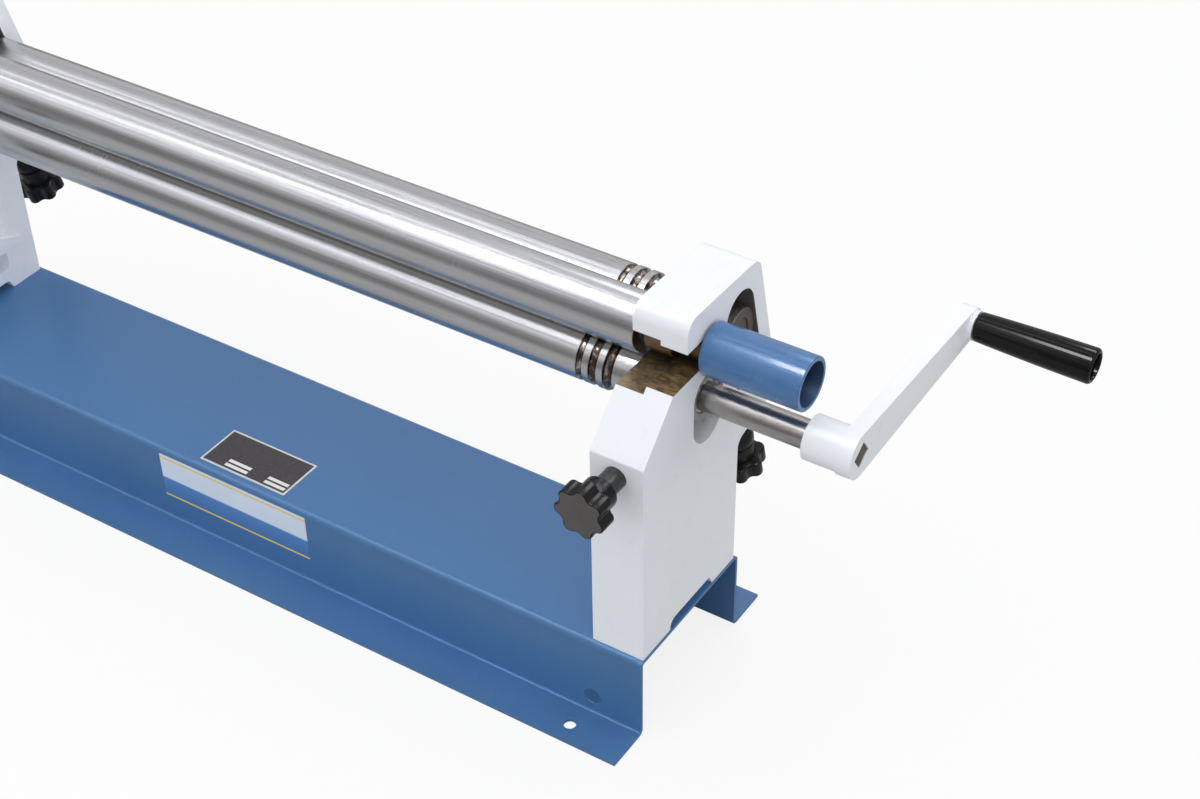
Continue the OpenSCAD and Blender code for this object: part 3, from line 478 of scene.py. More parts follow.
def knob_plastic():
    """Moulded black plastic with a soft gloss."""
    plastic = Finish("knob_plastic", (0.009, 0.009, 0.009), 0.2)
    plastic.set("Specular IOR Level", 0.22)
    grain = plastic.noise(1.2, detail=4, rough=0.65)
    cloud = plastic.noise(8, detail=3)
    base = plastic.mix(grain, (0.006, 0.006, 0.006), (0.014, 0.013, 0.012))
    beside = abs(plastic.x) - FRONT_X
    above = plastic.z - FRONT_Z
    round_hub = above * cos(SCREW_HOLE_TURN) - beside * sin(SCREW_HOLE_TURN)
    outward = beside * cos(SCREW_HOLE_TURN) + above * sin(SCREW_HOLE_TURN)
    along = plastic.y - SCREW_HOLE_Y
    from_hole = (round_hub * round_hub + along * along) ** 0.5
    hub_side = plastic.mask(outward, 5, 6)
    # Painted shade stands in for the set-screw hole's depth, and a painted highlight for light on its lip;
    # the bump also sinks the hole and raises the lip.
    shaded_hole = plastic.mask(from_hole, 1.4, 1.0) * hub_side
    lit_lip = plastic.inside(from_hole, 1.3, 1.7, 0.2) * hub_side
    base = plastic.mix(shaded_hole, base, (0.001, 0.001, 0.001))
    plastic.set("Base Color", plastic.mix(lit_lip * 0.5, base, (0.10, 0.097, 0.094)))
    plastic.set("Roughness", 0.13 + 0.14 * cloud + 0.06 * grain)
    plastic.bump(grain * 0.4 + cloud * 0.6 - shaded_hole * 10.0 + lit_lip * 2.0, 0.05)
    return plastic.material


def knob_face():
    """The knobs' flat faces, dulled by a fine matt grain."""
    plastic = Finish("knob_face", (0.055, 0.052, 0.048), 0.55)
    grain = plastic.noise(0.45, detail=3, rough=0.7)
    cloud = plastic.noise(15, detail=3)
    plastic.set("Base Color", plastic.mix(cloud, (0.058, 0.055, 0.052), (0.094, 0.088, 0.082)))
    plastic.set("Roughness", 0.52 + 0.15 * grain)
    plastic.bump(grain, 0.025)
    return plastic.material


def grip_plastic():
    """Polished black plastic, lightly scuffed."""
    plastic = Finish("grip_plastic", (0.004, 0.004, 0.004), 0.1)
    plastic.set("Specular IOR Level", 0.22)
    scuff = plastic.noise(5, stretch=(4, 1, 1), detail=5, rough=0.65)
    plastic.set("Base Color", plastic.mix(scuff, (0.003, 0.003, 0.003), (0.008, 0.007, 0.006)))
    plastic.set("Roughness", 0.05 + 0.10 * scuff)
    plastic.bump(scuff, 0.01)
    return plastic.material


def data_plate_face():
    """Thin aluminium plate: black printed field with empty white boxes inside a bare margin."""
    plate = Finish("data_plate_face", (0.6, 0.6, 0.6), 0.4, metallic=0.3)
    x = plate.x - (PLATE_X - PLATE_LENGTH / 2)
    y = plate.y - (PLATE_Y - PLATE_WIDTH / 2)
    field = plate.inside(x, PLATE_MARGIN, PLATE_LENGTH - PLATE_MARGIN, PRINT_EDGE)
    field = field * plate.inside(y, PLATE_MARGIN, PLATE_WIDTH - PLATE_MARGIN, PRINT_EDGE)
    speck = plate.noise(1.3, detail=4, rough=0.7)
    black = plate.mix(plate.mask(speck, 0.5, 0.75), (0.030, 0.026, 0.028), (0.085, 0.075, 0.078))
    silver = plate.mix(plate.noise(9), (0.62, 0.61, 0.60), (0.74, 0.74, 0.75))
    look = plate.mix(field, silver, black)
    for left, right in BOX_COLUMNS:
        for low, high in BOX_ROWS:
            box = plate.inside(x, left, right, PRINT_EDGE) * plate.inside(y, low, high, PRINT_EDGE)
            look = plate.mix(box, look, (0.80, 0.79, 0.77))
    plate.set("Base Color", look)
    plate.set("Metallic", (1 - field) * 0.5)
    plate.set("Roughness", 0.36 + 0.12 * speck)
    plate.bump(field * -1.0 + speck * 0.1, 0.05)
    return plate.material


def sticker_print():
    """Plain printed foil: a pale band over a blue one, between two thin yellow lines."""
    foil = Finish("sticker_print", linear(214, 229, 243), 0.3, coat=0.2)
    height = foil.z - STICKER_LOW
    tall = STICKER_HIGH - STICKER_LOW
    pale = foil.mix(foil.noise(30), linear(208, 219, 236), linear(218, 230, 243))
    blue = foil.mix(height / tall, linear(66, 112, 168), linear(96, 148, 212))
    meet = BANDS_MEET * tall
    look = foil.mix(foil.mask(height, meet - 0.8, meet + 0.8), blue, pale)
    for low in (2.0, tall - 4.0):
        line = foil.inside(height, low, low + STICKER_LINE, PRINT_EDGE)
        look = foil.mix(line, look, linear(238, 204, 52))
    foil.set("Base Color", look)
    foil.set("Roughness", 0.26 + 0.1 * foil.noise(6))
    foil.bump(foil.noise(14), 0.03)
    return foil.material


def bronze():
    """Turned bearing bronze."""
    metal = Finish("bronze", (0.55, 0.36, 0.16), 0.35, metallic=1.0)
    marks = metal.noise(0.5, stretch=(1, 14, 14), detail=3, rough=0.7)
    cloud = metal.noise(6, detail=4)
    metal.set("Base Color", metal.mix(cloud, (0.36, 0.22, 0.10), (0.62, 0.42, 0.20)))
    metal.set("Roughness", 0.26 + 0.16 * marks)
    metal.bump(marks, 0.012)
    return metal.material


# Turned steels and irons: light colour, dark colour, roughness
TURNED_STEELS = {
    "bush_steel": ((0.44, 0.43, 0.42), (0.27, 0.26, 0.25), 0.48),
    "shaft_steel": ((0.50, 0.475, 0.455), (0.33, 0.31, 0.29), 0.30),
    "dull_iron": ((0.21, 0.19, 0.17), (0.105, 0.09, 0.075), 0.55),
    "oily_iron": ((0.30, 0.235, 0.165), (0.09, 0.065, 0.042), 0.42),
    "dark_steel": ((0.30, 0.29, 0.28), (0.13, 0.12, 0.115), 0.45),
    "bright_steel": ((0.66, 0.65, 0.64), (0.48, 0.47, 0.46), 0.3),
}
FINISHES = {
    "white_paint": white_paint(),
    "blue_paint": blue_paint(),
    "tube_paint": tube_paint(),
    "bore_shade": bore_shade(),
    "upper_roll_steel": ground_steel("upper_roll_steel", AXIS_Y, UP_Z),
    "lower_roll_steel": ground_steel("lower_roll_steel", AXIS_Y, LOW_Z, grooved=True),
    "rear_roll_steel": ground_steel("rear_roll_steel", REAR_Y, REAR_Z, grooved=True),
    **{name: turned_steel(name, *look) for name, look in TURNED_STEELS.items()},
    "gate_iron": gate_iron(),
    "slot_paint": slot_paint(),
    "slot_iron": slot_iron(),
    "black_oxide": black_oxide(),
    "knob_plastic": knob_plastic(),
    "knob_face": knob_face(),
    "grip_plastic": grip_plastic(),
    "data_plate_face": data_plate_face(),
    "sticker_print": sticker_print(),
    "bronze": bronze(),
}


def placed(name, data):
    """A new object in the scene."""
    made = bpy.data.objects.new(name, data)
    bpy.context.scene.collection.objects.link(made)
    return made


def settle(name, bm, finishes, nodes, body=None):
    """Makes a piece from a mesh in millimetres, rides it on the nodes' body and lets it stand for them."""
    bmesh.ops.scale(bm, vec=(MM,) * 3, verts=bm.verts[:])
    mesh = bpy.data.meshes.new(name)
    bm.to_mesh(mesh)
    bm.free()
    stale = mesh.attributes.get("custom_normal")
    if stale:
        mesh.attributes.remove(stale)
    made = placed(name, mesh)
    for finish in finishes:
        mesh.materials.append(FINISHES[finish])
    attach(made, body or frame["nodes"][nodes[0]]["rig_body"])
    if nodes:
        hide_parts(*nodes)
    return made


def smooth(made, angle=None):
    """Smooth shading, which breaks at edges sharper than any angle given."""
    mesh = made.data
    mesh.polygons.foreach_set("use_smooth", [True] * len(mesh.polygons))
    if angle:
        mesh.set_sharp_from_angle(angle=radians(angle))


def dressed(node, bm, finishes, angle=CREASE):
    """The piece that stands for one node, with its faces outward and smooth."""
    smooth(settle(node + "_dressed", closed(bm), finishes, [node]), angle)


def bake(made):
    """Replaces a piece's mesh by the result of its modifiers."""
    bpy.context.view_layer.update()
    result = made.evaluated_get(bpy.context.evaluated_depsgraph_get())
    mesh = bpy.data.meshes.new_from_object(result)
    made.modifiers.clear()
    made.data = mesh


def weld(bm, apart=WELD):
    """Merges corners that are no further apart than this."""
    bmesh.ops.remove_doubles(bm, verts=bm.verts[:], dist=apart)


def cad_copy(node):
    """The node's solid as a clean mesh in millimetres, with its flat faces whole."""
    bm = bmesh.new()
    bm.from_mesh(frame["nodes"][node].data)
    bmesh.ops.scale(bm, vec=(1 / MM,) * 3, verts=bm.verts[:])
    weld(bm, 0.003)
    bmesh.ops.dissolve_limit(bm, angle_limit=radians(0.2), verts=bm.verts[:], edges=bm.edges[:])
    return bm


def softened(node, rim, finishes, kind=None, fine=None, segments=2):
    """The node's solid with its hard edges rounded by rim, or by less where fine(edge) says so."""
    bm = cad_copy(node)
    weight = bm.edges.layers.float.new("bevel_weight_edge")
    bm.normal_update()
    if kind:
        for face in bm.faces:
            face.material_index = kind(face)
    for edge in bm.edges:
        if len(edge.link_faces) == 2 and edge.calc_face_angle(0) > radians(HARD_EDGE):
            edge[weight] = fine(edge) if fine else 1.0
    made = settle(node + "_dressed", bm, finishes, [node])
    bevel = made.modifiers.new("rim", "BEVEL")
    bevel.width = rim * MM
    bevel.segments = segments
    bevel.limit_method = "WEIGHT"
    bevel.use_clamp_overlap = True
    bevel.miter_outer = "MITER_ARC"
    smooth(made)
    shade = made.modifiers.new("shade", "WEIGHTED_NORMAL")
    shade.keep_sharp = True
    bake(made)


def square_ways(along):
    """A direction and two more that are square to it."""
    axis = Vector(along).normalized()
    side = axis.orthogonal().normalized()
    return axis, side, axis.cross(side)


def band(bm, one, two, finish=0):
    """Faces between two rings of corners, where a ring of a single corner is a tip."""
    count = max(len(one), len(two))
    for k in range(count if count > 1 else 0):
        n = (k + 1) % count
        if len(one) == 1:
            corners = (one[0], two[n], two[k])
        elif len(two) == 1:
            corners = (one[k], one[n], two[0])
        else:
            corners = (one[k], one[n], two[n], two[k])
        bm.faces.new(corners).material_index = finish


def lathe(profile, origin, along, turns, bm=None):
    """A shape turned about a line, from a profile of (distance along, radius) in millimetres."""
    bm = bm or bmesh.new()
    axis, side, other = square_ways(along)
    start = Vector(origin)
    rings = []
    for at, r in profile:
        centre = start + axis * at
        if r < 1e-6:
            rings.append([bm.verts.new(centre)])
            continue
        angles = (2 * pi * k / turns for k in range(turns))
        rings.append([bm.verts.new(centre + r * (cos(a) * side + sin(a) * other)) for a in angles])
    for one, two in zip(rings, rings[1:]):
        band(bm, one, two)
    return bm


def closed(bm):
    """Faces outward everywhere."""
    bmesh.ops.recalc_face_normals(bm, faces=bm.faces[:])
    return bm


def round_corner(along, radius, r, quarter, steps=5):
    """Profile points of a quarter round: quarter 0 rises from the end face, 1 falls toward the far end."""
    points = []
    for i in range(steps + 1):
        a = pi / 2 * i / steps
        if quarter == 0:
            points.append((along + r - r * cos(a), radius - r + r * sin(a)))
        else:
            points.append((along - r + r * sin(a), radius - r + r * cos(a)))
    return points


def roll_profile(grooves=()):
    """Barrel of a roll from its left to its right shoulder, with any wire grooves."""
    points = round_corner(-ROLL_END, ROLL_R, ROLL_CHAMFER, 0, 3)
    for middle, wire in sorted(grooves):
        points.append((middle - wire - 0.25, ROLL_R))
        for i in range(13):
            a = pi * i / 12
            points.append((middle - wire * cos(a), ROLL_R - wire * sin(a)))
        points.append((middle + wire + 0.25, ROLL_R))
    return points + round_corner(ROLL_END, ROLL_R, ROLL_CHAMFER, 1, 3)


def end_finish(bm, tang_x=None):
    """Finish 1 on what stands out past a roll's shoulders, and 2 on the crank's square."""
    for face in bm.faces:
        x = face.calc_center_median().x
        if abs(x) > ROLL_END - 0.05:
            face.material_index = 2 if tang_x and x > tang_x else 1


def make_lower_roll():
    """Driven roll with wire grooves, journals, shaft and the crank's square."""
    left_end = -GEAR_X - GEAR_W + 0.5
    profile = [(left_end, 0), (left_end, SHAFT_R - 0.6), (left_end + 0.6, SHAFT_R)]
    profile += [(-GEAR_X + 0.05, SHAFT_R), (-GEAR_X + 0.05, LOW_JOURNAL_R), (-ROLL_END, LOW_JOURNAL_R)]
    profile += roll_profile(GROOVES)
    profile += [(ROLL_END, LOW_JOURNAL_R), (BUSH_OUT - 1.4, LOW_JOURNAL_R)]
    profile += [(BUSH_OUT - 1, LOW_JOURNAL_R - 0.4)]
    profile += [(BUSH_OUT - 1, SHAFT_R), (CRANK_IN + 4, SHAFT_R), (CRANK_IN + 4, 0)]
    bm = lathe(profile, (0, AXIS_Y, LOW_Z), TO_RIGHT, turns=160)
    tang = bmesh.ops.create_cube(bm, size=1.0)["verts"]
    length = CRANK_OUT - CRANK_IN - 0.8
    turn = Matrix.Rotation(radians(SQUARE_TURN), 4, "X")
    place = Matrix.Translation((CRANK_IN + length / 2, AXIS_Y, LOW_Z)) @ turn
    place = place @ Matrix.Diagonal((length, SQUARE_W, SQUARE_W, 1))
    bmesh.ops.transform(bm, matrix=place, verts=tang)
    edges = list({e for v in tang for e in v.link_edges})
    bmesh.ops.bevel(bm, geom=edges, offset=0.5, segments=2, affect="EDGES", profile=0.5)
    end_finish(bm, CRANK_IN + 5)
    dressed("lower_roll", bm, ["lower_roll_steel", "shaft_steel", "dull_iron"])


def make_upper_roll():
    """Swinging roll: ball end in the gear, neck through the gate into the tube."""
    bend = asin(BALL_NECK_R / BALL_R)
    steps = 14
    ball = [pi - (pi - bend) * i / steps for i in range(steps + 1)]
    profile = [(BALL_X + BALL_R * cos(a), BALL_R * sin(a)) for a in ball]
    profile[0] = (BALL_X - BALL_R, 0)
    profile += [(-ROLL_END, BALL_NECK_R)] + roll_profile()
    end = TUBE_X + TUBE_PLUG - 2
    profile += [(ROLL_END, NECK_R + 1.2), (ROLL_END + 1.2, NECK_R)]
    profile += [(end - 0.6, NECK_R), (end, NECK_R - 0.6), (end, 0)]
    bm = lathe(profile, (0, AXIS_Y, UP_Z), TO_RIGHT, turns=160)
    end_finish(bm)
    dressed("upper_roll", bm, ["upper_roll_steel", "oily_iron"])


def make_rear_roll():
    """Bending roll: wire grooves and journals with centre holes."""
    end = BUSH_OUT - 1
    cone = [(5.5, 0), (0, 3.5), (0, REAR_JOURNAL_R - 0.6), (-0.6, REAR_JOURNAL_R)]
    profile = [(-end + d if d > 0 else -end - d, r) for d, r in cone]
    profile += [(-ROLL_END, REAR_JOURNAL_R)] + roll_profile(GROOVES) + [(ROLL_END, REAR_JOURNAL_R)]
    profile += [(end + d if d <= 0 else end - d, r) for d, r in reversed(cone)]
    bm = lathe(profile, (0, REAR_Y, REAR_Z), TO_RIGHT, turns=160)
    end_finish(bm)
    dressed("rear_roll", bm, ["rear_roll_steel", "dull_iron"])


def make_bush(node, bore_r, outer_r, y, z, x0, x1, finish="bush_steel"):
    """A plain round bush with broken edges."""
    edge = 0.6
    profile = [(x0, bore_r + RUN_FIT), (x0, outer_r - edge), (x0 + edge, outer_r), (x1 - edge, outer_r)]
    profile += [(x1, outer_r - edge), (x1, bore_r + RUN_FIT + edge), (x1 - edge, bore_r + RUN_FIT)]
    profile += [(x0, bore_r + RUN_FIT)]
    bm = lathe(profile, (0, y, z), TO_RIGHT, turns=112)
    weld(bm)
    dressed(node, bm, [finish])


def make_tube():
    """Tube on the upper roll's neck, open at its far end."""
    end = TUBE_X + TUBE_LEN
    profile = [(TUBE_X, NECK_R + RUN_FIT)] + round_corner(TUBE_X, TUBE_R, 1.0, 0)
    profile += round_corner(end, TUBE_R, 1.1, 1)
    profile += [(end, TUBE_BORE_R + 0.6), (end - 0.2, TUBE_BORE_R + 0.2), (end - 0.7, TUBE_BORE_R)]
    profile += [(TUBE_X + TUBE_PLUG + 1.5, TUBE_BORE_R), (TUBE_X + TUBE_PLUG, TUBE_BORE_R - 1.5)]
    profile += [(TUBE_X + TUBE_PLUG, NECK_R + RUN_FIT), (TUBE_X, NECK_R + RUN_FIT)]
    bm = lathe(profile, (0, AXIS_Y, UP_Z), TO_RIGHT, turns=144)
    weld(bm)
    for face in bm.faces:
        middle = face.calc_center_median()
        inside = hypot(middle.y - AXIS_Y, middle.z - UP_Z) < TUBE_BORE_R + 0.1
        face.material_index = 1 if inside and middle.x > TUBE_X + 2 else 0
    dressed("lift_tube", bm, ["tube_paint", "bore_shade"])


def make_grip():
    """Barrel grip that swells toward its end, with a recess for the bolt's head."""
    y = AXIS_Y + CRANK_RADIUS
    start = GRIP_X
    end = start + GRIP_LEN
    recess_r = GRIP_END_R - 3.6
    floor = end - 10
    profile = [(start, SPINDLE_R + RUN_FIT)] + round_corner(start, GRIP_ROOT_R, 2.0, 0, 6)
    steps = 12
    for i in range(1, steps):
        t = i / steps
        swell = 0.35 * sin(pi * t)
        radius = GRIP_ROOT_R + (GRIP_END_R - GRIP_ROOT_R) * t + swell
        profile.append((start + 2 + (GRIP_LEN - 5.5) * t, radius))
    profile += round_corner(end, GRIP_END_R, 2.6, 1, 7)
    profile += [(end, recess_r + 1.2), (end - 0.4, recess_r + 0.4), (end - 1.2, recess_r)]
    profile += [(floor, recess_r), (floor, SPINDLE_R + RUN_FIT), (start, SPINDLE_R + RUN_FIT)]
    bm = lathe(profile, (0, y, LOW_Z), TO_RIGHT, turns=112)
    weld(bm)
    dressed("crank_grip", bm, ["grip_plastic"])


def star_ring(inset, start):
    """Points of the star's outline, drawn in by inset millimetres, with its first lobe at start degrees."""
    lobe_at = KNOB_R - LOBE_R
    half = pi / LOBES
    reach = LOBE_R + HOLLOW_R
    hollow_at = lobe_at * cos(half) + sqrt(reach ** 2 - (lobe_at * sin(half)) ** 2)
    toward = Vector((hollow_at * cos(half) - lobe_at, hollow_at * sin(half)))
    meet = atan2(toward.y, toward.x)
    points = []
    for k in range(LOBES):
        turn = Matrix.Rotation(2 * half * k + radians(start), 2)
        for i in range(17):
            a = -meet + 2 * meet * i / 16
            points.append(turn @ Vector((lobe_at + (LOBE_R - inset) * cos(a), (LOBE_R - inset) * sin(a))))
        for i in range(1, 10):
            a = pi + meet + (2 * half - 2 * meet) * i / 10
            centre = Vector((lobe_at, 0)) + toward
            points.append(turn @ (centre + (HOLLOW_R + inset) * Vector((cos(a), sin(a)))))
    return points


def star_solid(bm, origin, along, start_turn, face_edge, back_edge):
    """The star along a direction from its face, which gets finish 1, with rounded rims."""
    axis = Vector(along).normalized()
    side = Vector((1, 0, 0))
    other = axis.cross(side)
    start = Vector(origin)
    arc = [radians(18 * i) for i in range(6)]
    layers = [(face_edge * (1 - cos(a)), face_edge * (1 - sin(a))) for a in arc]
    layers += [(STAR_T - back_edge + back_edge * sin(a), back_edge * (1 - cos(a))) for a in arc]
    rings = []
    for at, inset in layers:
        outline = star_ring(inset, start_turn)
        rings.append([bm.verts.new(start + axis * at + p.x * side + p.y * other) for p in outline])
    for one, two in zip(rings, rings[1:]):
        band(bm, one, two)
    for ring, at, finish in ((rings[0], 0, 1), (rings[-1], STAR_T, 0)):
        band(bm, ring, [bm.verts.new(start + axis * at)], finish)
    return bm


def make_front_knob(node, x, turn):
    """Front knob: star toward the operator, and a hub with its small set-screw hole."""
    face_y = -FRAME_FRONT - FRONT_NECK - HUB_T - STAR_T
    bm = star_solid(bmesh.new(), (x, face_y, FRONT_Z), TO_REAR, turn, face_edge=1.1, back_edge=1.3)
    hub = [(STAR_T - 2, 0), (STAR_T - 2, HUB_R)] + round_corner(STAR_T + HUB_T, HUB_R, 1.4, 1)
    hub += [(STAR_T + HUB_T, 0)]
    lathe(hub, (x, face_y, FRONT_Z), TO_REAR, turns=96, bm=bm)
    dressed(node, bm, ["knob_plastic", "knob_face"], angle=40)


def make_rear_knob(node, x, turn):
    """Rear knob: domed collar toward the frame, hub, and star at the lower end."""
    top = Vector((x, REAR_Y, REAR_Z)) + DOWN * REAR_KNOB_AT
    bore = REAR_SCREW_R + RUN_FIT
    steps = 12
    start = asin(bore / DOME_R)
    arc = [start + (pi / 2 - start) * i / steps for i in range(steps + 1)]
    dome = [(DOME_R - DOME_R * cos(a), DOME_R * sin(a)) for a in arc]
    profile = [(DOME_T, bore), (dome[0][0], bore)] + dome
    neck = HUB_R - 2
    back = DOME_T + DOME_GAP
    profile += round_corner(DOME_T, DOME_R, 1.0, 1) + [(DOME_T, neck), (back, neck)]
    profile += round_corner(back, HUB_R, 1.0, 0)
    profile += [(back + HUB_T + 1, HUB_R), (back + HUB_T + 1, bore), (DOME_T, bore)]
    bm = lathe(profile, top, DOWN, turns=96)
    weld(bm)
    face = top + DOWN * (back + HUB_T + STAR_T)
    star_solid(bm, face, -DOWN, turn, face_edge=1.1, back_edge=1.6)
    dressed(node, bm, ["knob_plastic", "knob_face"], angle=40)


def threaded(bm, origin, along, start, end, radius, turns=40, steps=6):
    """A screw thread as one continuous ridge between start and end along a line."""
    axis, side, other = square_ways(along)
    origin = Vector(origin)
    rows = int((end - start) / THREAD_PITCH * steps)
    last = [bm.verts.new(origin + axis * start)]
    for row in range(rows + 1):
        at = start + (end - start) * row / rows
        fade = min(1, row / steps, (rows - row) / steps)
        ring = []
        for k in range(turns):
            phase = (row / steps - k / turns) % 1
            r = radius - THREAD_DEPTH * fade * abs(2 * phase - 1)
            a = 2 * pi * k / turns
            ring.append(bm.verts.new(origin + axis * at + r * (cos(a) * side + sin(a) * other)))
        band(bm, last, ring)
        last = ring
    band(bm, last, [bm.verts.new(origin + axis * end)])


def make_rear_screw(node, x):
    """Rear screw: turned tip in the bush, then thread down to inside the knob."""
    tip_end = REAR_SLOT_R + 0.5
    length = REAR_KNOB_AT + DOME_T
    at = (x, REAR_Y, REAR_Z)
    tip = [(REAR_TIP, 0), (REAR_TIP, REAR_SCREW_R - 2), (REAR_TIP + 0.5, REAR_SCREW_R - 1.5)]
    tip += [(tip_end + 1, REAR_SCREW_R - 1.5), (tip_end + 1, 0)]
    bm = lathe(tip, at, DOWN, turns=48)
    threaded(bm, at, DOWN, tip_end, length, REAR_SCREW_R)
    dressed(node, bm, ["dark_steel"], angle=50)


def make_front_screw(node, x):
    """Front stud: smooth blackened bar from its shank inside the knob to the plunger."""
    neck_y = -FRAME_FRONT - FRONT_NECK + RUN_FIT
    length = PLUNGER_Y - RUN_FIT - neck_y
    inner = [(0, 0), (0, STUD_R - 0.4), (0.4, STUD_R), (length - 0.5, STUD_R)]
    inner += [(length, STUD_R - 0.5), (length, 0)]
    bm = lathe(inner, (x, neck_y, FRONT_Z), TO_REAR, turns=96)
    shank_end = -HUB_T - STAR_T + 5.5
    shank = [(shank_end, 0), (shank_end, STUD_R - 2), (1, STUD_R - 2), (1, 0)]
    lathe(shank, (x, neck_y, FRONT_Z), TO_REAR, turns=64, bm=bm)
    dressed(node, bm, ["black_oxide"])


def off_segment(y, z, one, two):
    """Distance from a point to a slot's middle line."""
    point, a, b = Vector((y, z)), Vector(one), Vector(two)
    run = b - a
    t = 0 if run.length < 1e-6 else max(0, min(1, (point - a).dot(run) / run.length_squared))
    return (point - a - run * t).length


def along_lean(down):
    """The place on the rear roll's sloping way, down from its axis at rest."""
    return REAR_Y + down * DOWN.y, REAR_Z + down * DOWN.z


# Middle lines of the frames' openings, seen from the side
LOW_SLOT = ((AXIS_Y, LOW_Z + LOW_SLOT_UP), (AXIS_Y, LOW_Z - LOW_SLOT_DOWN))
REAR_SLOT = (along_lean(-REAR_SLOT_UP), along_lean(REAR_SLOT_DOWN))
GATE = ((AXIS_Y, UP_Z), (GATE_MOUTH_Y, UP_Z))


def frame_kind(face):
    """0 for paint, 1 for the gate's bare iron, 2 for the sloping slots and bores, 3 for the lower slots."""
    middle = face.calc_center_median()
    off_gate = off_segment(middle.y, middle.z, *GATE)
    if abs(face.normal.x) > 0.7:
        inner = IN_X + 1 < abs(middle.x) < OUT_X - 1
        return 1 if inner and off_gate < WIDE_GATE_R + 0.5 and middle.x > 0 else 0
    if middle.x > 0 and off_gate < WIDE_GATE_R + 0.3:
        return 1
    if off_segment(middle.y, middle.z, *LOW_SLOT) < LOW_SLOT_R + 0.3:
        return 3
    if off_segment(middle.y, middle.z, *REAR_SLOT) < REAR_SLOT_R + 0.3:
        return 2
    beside = abs(middle.x) - FRONT_X
    narrow_bore = abs(beside) < STUD_R + 0.3 and len(face.verts) <= 6
    if narrow_bore and hypot(beside, middle.z - FRONT_Z) < STUD_R + 0.4 and middle.y < AXIS_Y:
        return 2
    return 0


def frame_rim(edge):
    """Full rounding on the casting's outline, and a fine break at machined openings."""
    kinds = [face.material_index for face in edge.link_faces]
    return MACHINED_SHARE if any(kinds) else 1.0


def make_frames():
    """Both end frames, with other finishes in their openings."""
    for node in ("frame_left", "frame_right"):
        finishes = ["white_paint", "gate_iron", "slot_iron", "slot_paint"]
        softened(node, CAST_RIM, finishes, frame_kind, frame_rim, segments=4)


def thin_sheet(name, corner, size, thick, radius, bulge, finish):
    """A thin sheet with round corners on the base, from its low corner; bulge is the way its face looks."""
    bm = bmesh.new()
    length, width = size
    outline = []
    for at_x, at_y, begin in ((length - radius, width - radius, 0), (radius, width - radius, 90),
                              (radius, radius, 180), (length - radius, radius, 270)):
        for i in range(7):
            a = radians(begin + 15 * i)
            outline.append((at_x + radius * cos(a), at_y + radius * sin(a)))
    middle_x, middle_y = length / 2, width / 2
    side = Vector((1, 0, 0))
    other = Vector((0, 1, 0)) if bulge.z else Vector((0, 0, 1))
    rings = []
    edge = thick * 0.4
    for lift, inset in ((0, 0), (thick - edge, 0), (thick, edge)):
        ring = []
        for u, v in outline:
            reach = Vector((u - middle_x, v - middle_y))
            reach -= reach.normalized() * inset
            place = Vector(corner) + side * (middle_x + reach.x) + other * (middle_y + reach.y) + bulge * lift
            ring.append(bm.verts.new(place))
        rings.append(ring)
    for one, two in zip(rings, rings[1:]):
        band(bm, one, two)
    bm.faces.new(rings[0])
    bm.faces.new(rings[-1])
    body = frame["nodes"]["base_channel"]["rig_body"]
    smooth(settle(name, closed(bm), [finish], [], body), CREASE)


def make_labels():
    """The bare data plate on the base's top, and the plain sticker on its front."""
    low = (PLATE_X - PLATE_LENGTH / 2, PLATE_Y - PLATE_WIDTH / 2, BASE_H)
    size = (PLATE_LENGTH, PLATE_WIDTH)
    thin_sheet("data_plate", low, size, PLATE_T, 0.8, Vector((0, 0, 1)), "data_plate_face")
    low = (STICKER_X - STICKER_LENGTH / 2, -SIDE_Y, STICKER_LOW)
    size = (STICKER_LENGTH, STICKER_HIGH - STICKER_LOW)
    thin_sheet("front_sticker", low, size, STICKER_T, 0.6, Vector((0, -1, 0)), "sticker_print")


# The photograph's viewpoint, fitted to corners and edges that show in it, in millimetres
CAMERA_PLACE = Vector((873.80, -893.25, 1067.34))
CAMERA_RIGHT = Vector((0.847076, 0.531471, 0))
CAMERA_UP = Vector((-0.344160, 0.548533, 0.762014))
CAMERA_BACK = Vector((0.404989, -0.645484, 0.647560))
SENSOR_MM = 36.0
LENS_MM = 62.523
SHIFT_RIGHT = -0.03235
SHIFT_UP = 0.06168


def make_camera():
    """The photograph's place, turn and lens."""
    data = bpy.data.cameras.new("camera")
    data.sensor_fit = "HORIZONTAL"
    data.sensor_width = SENSOR_MM
    data.lens = LENS_MM
    data.shift_x = SHIFT_RIGHT
    data.shift_y = SHIFT_UP
    data.clip_end = 50
    camera = placed("camera", data)
    turn = Matrix((CAMERA_RIGHT, CAMERA_UP, CAMERA_BACK)).transposed().to_4x4()
    camera.matrix_world = Matrix.Translation(CAMERA_PLACE * MM) @ turn
    bpy.context.scene.camera = camera


def softbox(name, place, aim, size, power):
    """A rectangular studio light that faces a point."""
    data = bpy.data.lights.new(name, "AREA")
    data.shape = "RECTANGLE"
    data.size, data.size_y = size
    data.energy = power
    light = placed(name, data)
    light.visible_glossy = False
    light.location = place
    light.rotation_euler = (Vector(aim) - Vector(place)).to_track_quat("-Z", "Y").to_euler()


